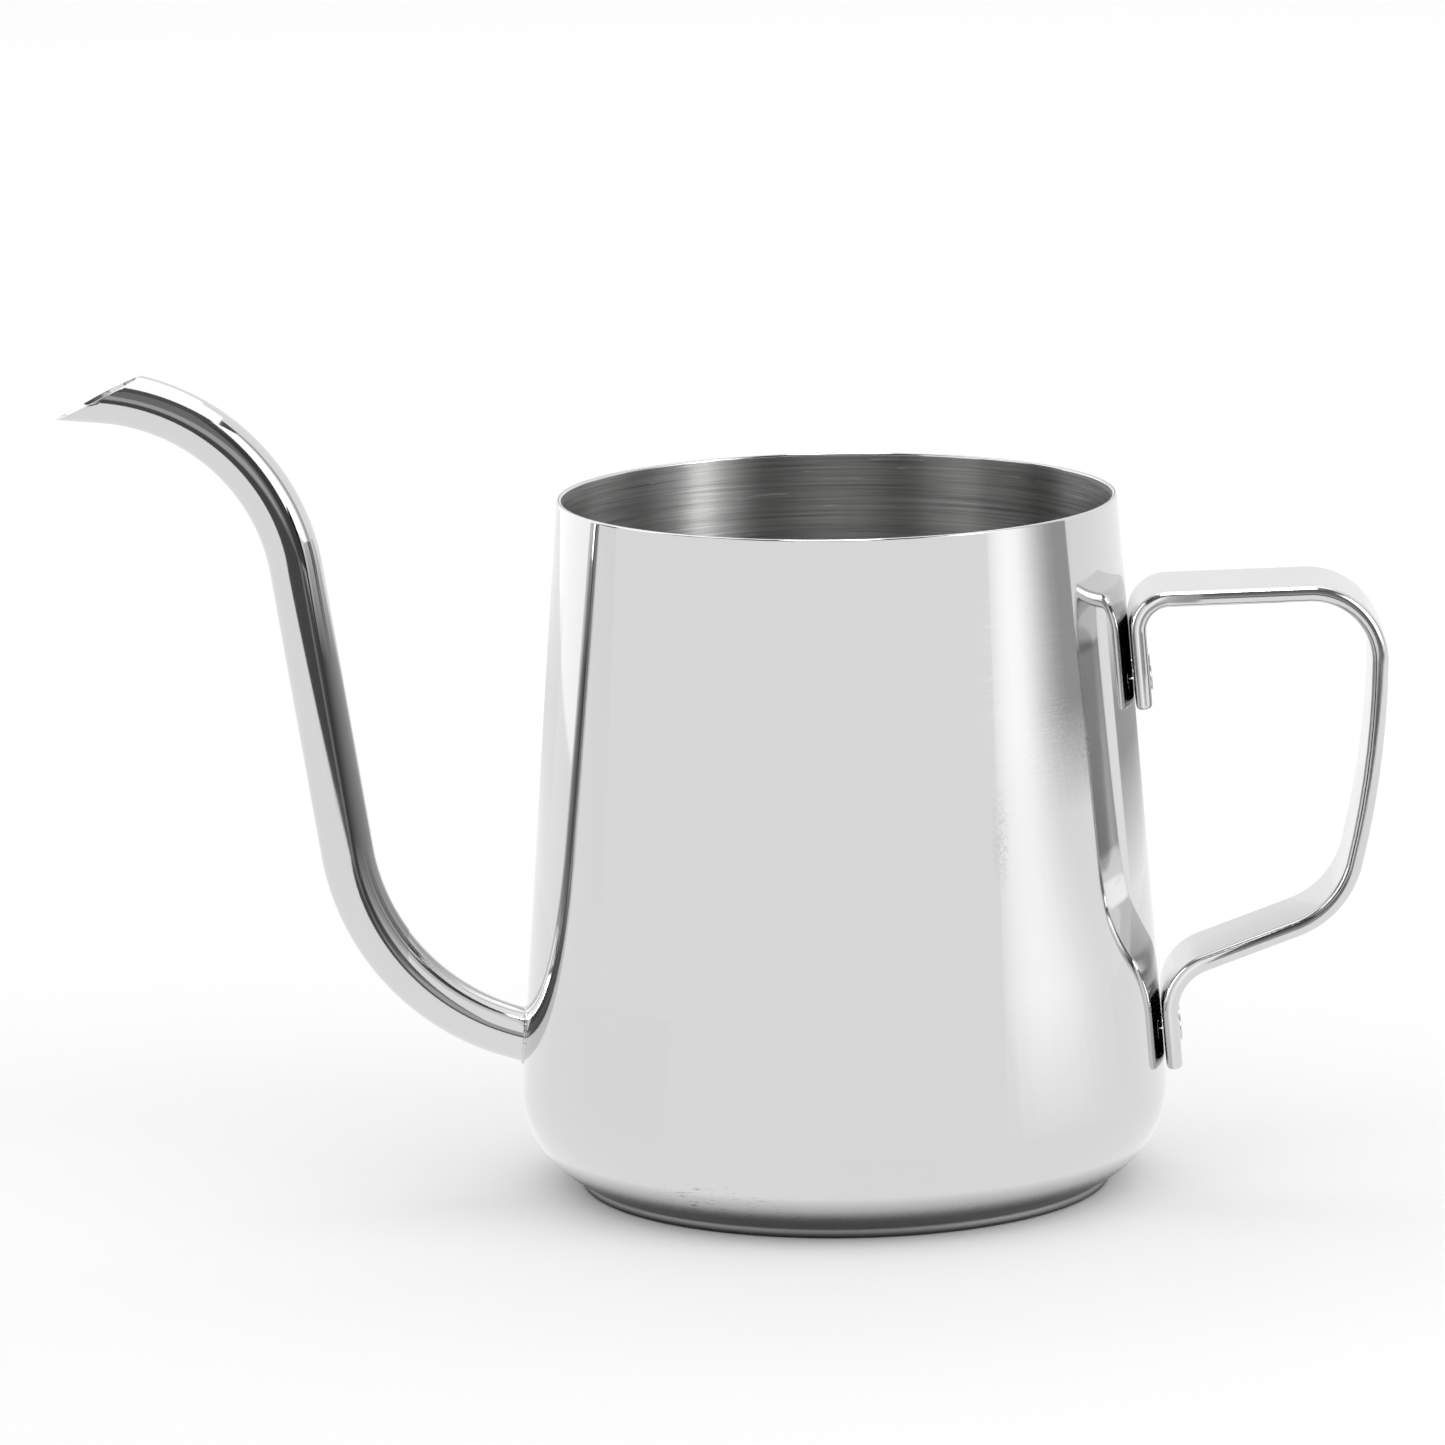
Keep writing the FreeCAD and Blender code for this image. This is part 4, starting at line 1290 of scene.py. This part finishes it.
@dataclass(frozen=True)
class Card:
    """A panel of the studio that the polished metal mirrors: glowing in front and black behind. Unless it is
    a lighting card, it is seen only in reflections and lights nothing: a painted reflection.
    """

    name: str
    first_edge: Sequence[Vector]
    second_edge: Sequence[Vector]
    first_glow: Sequence[float]
    second_glow: Sequence[float]
    seen: Seen = Seen.MIRRORED
    # How far each edge hides what is behind it, and whether the panel can be seen through from its back.
    cover: tuple[float, float] = (1.0, 1.0)
    one_way: bool = False

    @classmethod
    def upright(cls, name: str, feet: Sequence[Sequence[float]], low: float, high: float,
                glow: Sequence[float], seen: Seen = Seen.MIRRORED) -> "Card":
        """A standing panel.

        Args:
            name: Name of the panel.
            feet: Where its columns stand, from left to right as the kettle sees them.
            low: Height of the lower edge.
            high: Height of the upper edge.
            glow: Strength at each column.
            seen: Which rays meet it.

        Returns:
            The panel.
        """
        lower = [Vector((foot[0], foot[1], low)) for foot in feet]
        upper = [Vector((foot[0], foot[1], high)) for foot in feet]
        return cls(name, lower, upper, glow, glow, seen)

    @classmethod
    def lying(cls, name: str, low: Sequence[float], high: Sequence[float], height: float, glow: float,
              seen: Seen = Seen.MIRRORED) -> "Card":
        """A lying panel, glowing upwards when it is on the floor and downwards when it is overhead.

        Args:
            name: Name of the panel.
            low: Least X and Y.
            high: Greatest X and Y.
            height: Height above the floor.
            glow: Strength all over.
            seen: Which rays meet it.

        Returns:
            The panel.
        """
        left, right = (low[0], high[0]) if seen is Seen.MIRRORED else (high[0], low[0])
        far = [Vector((left, low[1], height)), Vector((right, low[1], height))]
        near = [Vector((left, high[1], height)), Vector((right, high[1], height))]
        return cls(name, far, near, (glow,) * 2, (glow,) * 2, seen)

    def build(self) -> None:
        """Makes the panel, out of the camera's sight."""
        columns = len(self.first_edge)
        mesh = bpy.data.meshes.new(self.name)
        faces = [(k, k + 1, columns + k + 1, columns + k) for k in range(columns - 1)]
        mesh.from_pydata([*self.first_edge, *self.second_edge], [], faces)
        glow = mesh.attributes.new("glow", "FLOAT", "POINT")
        glow.data.foreach_set("value", [*self.first_glow, *self.second_glow])
        cover = mesh.attributes.new("cover", "FLOAT", "POINT")
        cover.data.foreach_set("value", [self.cover[0]] * columns + [self.cover[1]] * columns)
        panel = bpy.data.objects.new(self.name, mesh)
        bpy.context.scene.collection.objects.link(panel)
        mesh.materials.append(self.surface())
        panel.visible_camera = False
        panel.visible_shadow = False
        panel.visible_diffuse = self.seen is Seen.LIGHTING

    def surface(self) -> Material:
        """The panel's material, whose glow runs from column to column.

        Returns:
            A material that glows in front and can be clear behind.
        """
        material, tree = empty_material(f"{self.name}_glow")
        glow = add_node(tree, "ShaderNodeAttribute", attribute_name="glow").outputs["Fac"]
        cover = add_node(tree, "ShaderNodeAttribute", attribute_name="cover").outputs["Fac"]
        behind = add_node(tree, "ShaderNodeNewGeometry").outputs["Backfacing"]
        front = add_node(tree, "ShaderNodeMath", {0: 1.0, 1: behind}, operation="SUBTRACT").outputs[0]
        strength = add_node(tree, "ShaderNodeMath", {0: glow, 1: front}, operation="MULTIPLY").outputs[0]
        if self.one_way or self.seen is Seen.LIGHTING:
            cover = add_node(tree, "ShaderNodeMath", {0: cover, 1: front}, operation="MULTIPLY").outputs[0]
        light = add_node(tree, "ShaderNodeEmission", {"Strength": strength}).outputs[0]
        clear = add_node(tree, "ShaderNodeBsdfTransparent").outputs[0]
        shown = add_node(tree, "ShaderNodeMixShader", {0: cover, 1: clear, 2: light}).outputs[0]
        add_node(tree, "ShaderNodeOutputMaterial", {"Surface": shown})
        return material


@dataclass
class Studio:
    """Pale floor, white surroundings, cards seen only in the metal's reflections that paint light and shade
    there, two softboxes, and the camera at the photograph's angle.
    """

    floor_size: float = 8.0
    floor_colour: str = "#fcfcfc"
    sky_colour: str = "#ffffff"
    ambient: float = 0.95
    ring_steps: int = 90
    # Radius and heights of the painted reflections close round the body: the even front and the bright strip
    # beside it.
    painted_reflection_radius: float = 50.0 * MM
    painted_reflection_low: float = 10.5 * MM
    painted_reflection_high: float = 100.0 * MM
    # Where the painted highlight strip ends, and the radii of the flags of painted shade.
    strip_end: float = -19.0
    spout_flag_radius: float = 57.0 * MM
    back_flag_radius: float = 60.0 * MM
    shadow_lift: float = 0.1 * MM
    wall_far: float = -1.7
    apron_near: float = -0.29
    sensor: float = 36.0
    lens: float = 216.5
    distance: float = 1136.2 * MM
    pitch: float = 10.47
    roll: float = -0.92
    azimuth: float = 1.5
    aim_across: float = -15.3 * MM
    aim_up: float = 61.1 * MM
    clip_near: float = 0.05
    clip_far: float = 50.0

    def build_floor(self) -> None:
        """Makes the pale floor."""
        mesh = bpy.data.meshes.new("floor")
        half = self.floor_size / 2
        corners = [(-half, -half, 0), (half, -half, 0), (half, half, 0), (-half, half, 0)]
        mesh.from_pydata(corners, [], [(0, 1, 2, 3)])
        floor = bpy.data.objects.new("floor", mesh)
        bpy.context.scene.collection.objects.link(floor)
        material, tree = empty_material("matt_pale_paper")
        paper = add_node(tree, "ShaderNodeBsdfDiffuse", {"Color": linear(self.floor_colour)}).outputs[0]
        add_node(tree, "ShaderNodeOutputMaterial", {"Surface": paper})
        mesh.materials.append(material)

    def build_world(self) -> None:
        """Makes the white surroundings: full white where seen or mirrored, a plain level as light."""
        world = bpy.data.worlds.new("white_studio")
        bpy.context.scene.world = world
        world.use_nodes = True
        tree = world.node_tree
        tree.nodes.clear()
        path = add_node(tree, "ShaderNodeLightPath").outputs
        seen = add_node(tree, "ShaderNodeMath", {0: path["Is Camera Ray"], 1: path["Is Glossy Ray"]},
                        operation="MAXIMUM").outputs[0]
        shown = add_node(tree, "ShaderNodeMath", {0: seen, 1: path["Is Transmission Ray"]},
                         operation="MAXIMUM").outputs[0]
        level = add_node(tree, "ShaderNodeMapRange", {
            "Value": shown, "To Min": self.ambient, "To Max": 1.0,
        }).outputs[0]
        sky = add_node(tree, "ShaderNodeBackground", {
            "Color": linear(self.sky_colour), "Strength": level,
        }).outputs[0]
        add_node(tree, "ShaderNodeOutputWorld", {"Surface": sky})

    @staticmethod
    def arc(radius: float, edge: Edge, steps: int) -> list[Vector]:
        """Points along one edge of a curved panel.

        Args:
            radius: Distance from the body's axis.
            edge: Where the edge runs.
            steps: Straight parts that it is drawn in.

        Returns:
            The points in order.
        """
        lift = Vector((0.0, 0.0, edge.height))
        turn = (edge.last - edge.first) / steps
        return [
            (FlatPen.toward(edge.first + turn * step) * radius).to_3d() + lift for step in range(steps + 1)
        ]

    def band(self, name: str, radius: float, low: Edge, high: Edge, low_glow: Sequence[float],
             high_glow: Sequence[float], **looks: Any) -> Card:
        """A curved panel close round the body, seen only in its reflections as painted light and shade.

        Args:
            name: Name of the panel.
            radius: Distance from the body's axis.
            low: Lower edge.
            high: Upper edge.
            low_glow: Strengths along the lower edge, evenly spread.
            high_glow: Strengths along the upper edge.
            looks: Further fields of the panel.

        Returns:
            The panel.
        """
        steps = len(low_glow) - 1
        edges = [self.arc(radius, edge, steps) for edge in (low, high)]
        return Card(name, edges[0], edges[1], low_glow, high_glow, **looks)

    def flag(self, name: str, radius: float, heights: Sequence[float], first: float, last: float,
             glow: Sequence[float]) -> list[Card]:
        """A curved flag of painted shade, seen only in reflections and from inside only, that fades out
        towards its foot and its top.

        Args:
            name: Name of the flag.
            radius: Distance from the body's axis.
            heights: Where it begins, is full, begins to fade and ends.
            first: Angle of the first column from the X axis.
            last: Angle of the last column.
            glow: Strengths from the first to the last column.

        Returns:
            The flag's three panels.
        """
        edges = [Edge(height, first, last) for height in heights]
        covers = ((0.0, 1.0), (1.0, 1.0), (1.0, 0.0))
        return [
            self.band(f"{name}_{part}", radius, low, high, glow, glow, cover=cover, one_way=True)
            for part, low, high, cover in zip(("foot", "middle", "top"), edges, edges[1:], covers)
        ]

    def ring(self, name: str, inside: float, outside: float, near: float, far: float) -> Card:
        """A ring of painted shade and light on the floor round the foot, seen only in the metal's
        reflections.

        Args:
            name: Name of the ring.
            inside: Inner radius.
            outside: Outer radius.
            near: Strength at the inner radius.
            far: Strength at the outer radius.

        Returns:
            The ring.
        """
        edge = Edge(self.shadow_lift, 0.0, 360.0)
        outer = self.arc(outside, edge, self.ring_steps)
        inner = self.arc(inside, edge, self.ring_steps)
        return Card(name, outer, inner, (far,) * len(outer), (near,) * len(inner))

    def front_cards(self) -> list[Card]:
        """The painted reflection that gives the body its even front, and the painted highlight of the bright
        strip beside it.

        Returns:
            Their panels.
        """
        even = (1.0,) * 27
        painted_front_bottom = Edge(self.painted_reflection_low, -55.0, -128.0)
        painted_front_step = Edge(28 * MM, -53.7, -128.0)
        painted_front_side = Edge(28 * MM, -53.7, -150.0)
        painted_front_top = Edge(self.painted_reflection_high, -48.0, -157.0)
        cards = [
            self.band("front_screen", self.painted_reflection_radius, painted_front_side, painted_front_top, even, even),
            self.band("front_screen_foot", self.painted_reflection_radius, painted_front_bottom, painted_front_step, even, even),
        ]
        # Strengths across the painted highlight strip at five heights, from its right end to the painted
        # front reflection.
        foot = (1.0,) * 11
        low = (1.02, 1.03, 1.06, 1.12, 1.2, 1.27, 1.3, 1.33, 1.3, 1.22, 1.06)
        middle = (1.0, 1.0, 0.98, 0.98, 1.0, 1.08, 1.2, 1.3, 1.32, 1.25, 1.08)
        top = (0.4, 0.4, 0.4, 0.48, 0.65, 0.88, 1.15, 1.36, 1.4, 1.3, 1.1)
        rows = (
            (Edge(self.painted_reflection_low, self.strip_end, -55.0), foot),
            (Edge(30 * MM, self.strip_end, -53.6), low),
            (Edge(52 * MM, self.strip_end, -52.1), middle),
            (Edge(66 * MM, self.strip_end, -51.0), top),
            (Edge(self.painted_reflection_high, self.strip_end, -48.0), top),
        )
        names = ("strip_foot", "strip_low", "strip_middle", "strip_top")
        for name, (lower, low_glow), (upper, high_glow) in zip(names, rows, rows[1:]):
            cards.append(self.band(name, self.painted_reflection_radius, lower, upper, low_glow, high_glow))
        return cards

    def shade_cards(self) -> list[Card]:
        """The flags of painted shade beside the spout and behind the body, and the rings of painted shade and
        light on the floor round the foot, all seen only in reflections.

        Returns:
            Their panels.
        """
        # Strengths of the painted shade along the flag beside the spout, and of the grey flag behind the
        # body.
        black = (0.45, 0.4, 0.32, 0.24, 0.16, 0.1, 0.06, 0.06, 0.06, 0.08, 0.1, 0.1, 0.06, 0.06)
        fading = (0.97, 0.95, 0.92, 0.88, 0.83, 0.77, 0.7, 0.63, 0.56, 0.5, 0.46, 0.43)
        grey = fading + (0.42,) * 14
        # Painted shade on the floor, seen only in reflections: dark close to the foot, white further out
        # where it hides the floor's own shade.
        names = ("foot_shade", "belly_shade", "floor_shade", "floor_glow")
        radii = mm(34, 37, 39, 43, 250)
        levels = (0.03, 0.1, 0.55, 1.0, 0.98)
        return [
            *self.flag("spout_flag", self.spout_flag_radius, mm(22, 46, 70, 90), -188.0, -140.0, black),
            *self.flag("back_flag", self.back_flag_radius, mm(36, 54, 62, 76), 165.0, 9.0, grey),
            *map(self.ring, names, radii, radii[1:], levels, levels[1:]),
        ]

    def room_cards(self) -> list[Card]:
        """The dark room and the softboxes further away. Only back_softbox and right_softbox light anything;
        the other cards are seen only in reflections: painted reflections of a dark room and painted
        highlights.

        Returns:
            Their panels.
        """
        far, near = self.wall_far, self.apron_near
        path_far = [Vector((0.62, far, 0.003)), Vector((0.9, far, 0.003))]
        path_near = [Vector((0.05, near, 0.003)), Vector((0.11, near, 0.003))]
        return [
            # Painted reflections of a dark room with paler patches, seen only in the metal.
            Card.lying("dark_apron", low=(-0.25, far), high=(0.95, near), height=0.002, glow=0.08),
            Card("pale_path", path_far, path_near, first_glow=(0.2, 0.2), second_glow=(0.2, 0.2)),
            Card.upright("dark_room", feet=((2.4, far), (0.85, far), (0.7, far), (-0.1, far), (-1.3, far)),
                         low=0.0, high=1.6, glow=(0.06, 0.06, 0.2, 0.2, 0.1)),
            Card.upright("front_glow", feet=((0.5, -1.65), (-0.5, -1.65)), low=0.08, high=0.5,
                         glow=(0.45, 0.45)),
            Card.upright("dim_side", feet=((-0.7, -0.33), (-0.7, 0.3)), low=0.12, high=1.6, glow=(0.1, 0.1)),
            Card.lying("dark_ceiling", low=(-1.3, far), high=(2.4, 0.25), height=1.6, glow=0.1,
                       seen=Seen.OVERHEAD),
            # Painted highlights: glowing cards seen only in reflections, which light nothing.
            Card.lying("top_softbox", low=(-0.2, -0.35), high=(0.17, 0.1), height=1.1, glow=9.0,
                       seen=Seen.OVERHEAD),
            Card.lying("tip_softbox", low=(-0.16, -0.034), high=(-0.035, 0.037), height=0.16, glow=1.5,
                       seen=Seen.OVERHEAD),
            # Lamps: these two light the floor, and show in reflections too.
            Card.lying("back_softbox", low=(-0.5, 0.5), high=(0.5, 1.1), height=1.1, glow=1.8,
                       seen=Seen.LIGHTING),
            Card.upright("right_softbox", feet=((0.69, 0.17), (0.68, 0.0), (0.66, -0.13), (0.48, -0.5)),
                         low=0.1, high=0.9, glow=(0.4, 0.6, 1.7, 1.7), seen=Seen.LIGHTING),
            # More painted highlights, seen only in reflections.
            Card.upright("right_lamp", feet=((0.6, -0.22), (0.53, -0.33)), low=0.2, high=0.8,
                         glow=(9.0, 9.0)),
            Card.upright("left_glow", feet=((-0.45, 0.2), (-0.3, 0.7)), low=0.0, high=0.8, glow=(1.25, 1.4)),
        ]

    def build_camera(self) -> None:
        """Makes the camera at the photograph's angle."""
        data = bpy.data.cameras.new("camera")
        data.sensor_width = self.sensor
        data.lens = self.lens
        data.clip_start = self.clip_near
        data.clip_end = self.clip_far
        camera = bpy.data.objects.new("camera", data)
        bpy.context.scene.collection.objects.link(camera)
        azimuth = math.radians(self.azimuth)
        pitch = math.radians(self.pitch)
        level = Vector((math.cos(azimuth), math.sin(azimuth), 0.0))
        away = Vector((-math.sin(azimuth), math.cos(azimuth), 0.0))
        forward = away * math.cos(pitch) - Vector((0.0, 0.0, math.sin(pitch)))
        right = Matrix.Rotation(math.radians(-self.roll), 3, forward) @ level
        upward = right.cross(forward)
        turn = Matrix((right, upward, -forward)).transposed()
        aim = level * self.aim_across + Vector((0.0, 0.0, self.aim_up))
        camera.matrix_world = Matrix.Translation(aim - forward * self.distance) @ turn.to_4x4()
        bpy.context.scene.camera = camera

    def build(self) -> None:
        """Makes the whole studio."""
        bpy.context.scene.view_settings.view_transform = "Standard"
        self.build_floor()
        self.build_world()
        for card in (*self.front_cards(), *self.shade_cards(), *self.room_cards()):
            card.build()
        self.build_camera()


def main() -> None:
    """Builds the kettle's pieces and the studio."""
    logging.basicConfig(level=logging.INFO, format="%(message)s")
    body_polish = PolishedStainless(
        "mirror_polished_stainless", line=Grain(mm(30, 30, 0.4)), line_depth=0.0003 * MM,
        dull_height=9 * MM, dull_haze=0.28,
        marks=(
            WearAndShadeMark(mm(25, -30, 72), reach=mm(12, 11, 30), streak=Grain(mm(9, 9, 0.25)), dulling=0.2),
            WearAndShadeMark(mm(29.4, -25.6, 62), reach=mm(9, 9, 9), streak=Grain(mm(0.7, 0.7, 0.25)),
                     dulling=0.25, darkening=0.1),
            WearAndShadeMark(mm(20.9, -34.7, 52.5), reach=mm(1.6, 3, 9), streak=Grain(mm(0.5, 0.5, 0.4)),
                     dulling=0.3, darkening=0.3, rarity=0.45),
            WearAndShadeMark(mm(-16, -36, 5), reach=mm(12, 9, 4), streak=Grain(mm(2, 2, 0.3)),
                     dulling=0.1, darkening=0.9, rarity=0.58),
            # Darker and duller streaks all round the lowest 4 mm of the body.
            WearAndShadeMark(mm(0, 0, 0), reach=mm(60, 60, 4), streak=Grain(mm(0.6, 0.6, 0.6)),
                     dulling=0.35, darkening=0.35, rarity=0.25),
            # Painted shade: the lowest millimetre of the foot darkened all round, so that its bright
            # reflected line reads dark.
            WearAndShadeMark(mm(0, 0, 0), reach=mm(200, 200, 1), streak=Grain(mm(0.6, 0.6, 0.6)),
                     dulling=0.3, darkening=0.8, rarity=0.0),
        ),
    ).build()
    tube_polish = PolishedStainless("polished_stainless_tube", roughness=0.06).build()
    strap_polish = PolishedStainless("polished_stainless_strap", roughness=0.12, haze=0.08).build()
    brushed = BrushedStainless("brushed_stainless").build()
    weld = DressedWeld("dressed_stainless_weld").build()
    body = DrawnBody()
    spout = GooseneckSpout()
    handle = StrapHandle()
    body.build(spout, body_polish, brushed)
    spout.build_tube(body, tube_polish)
    spout.build_bead(body, weld)
    welds = handle.build_welds(body, weld)
    handle.build_strap(body, welds, strap_polish)
    Studio().build()


if __name__ == "__main__":
    main()
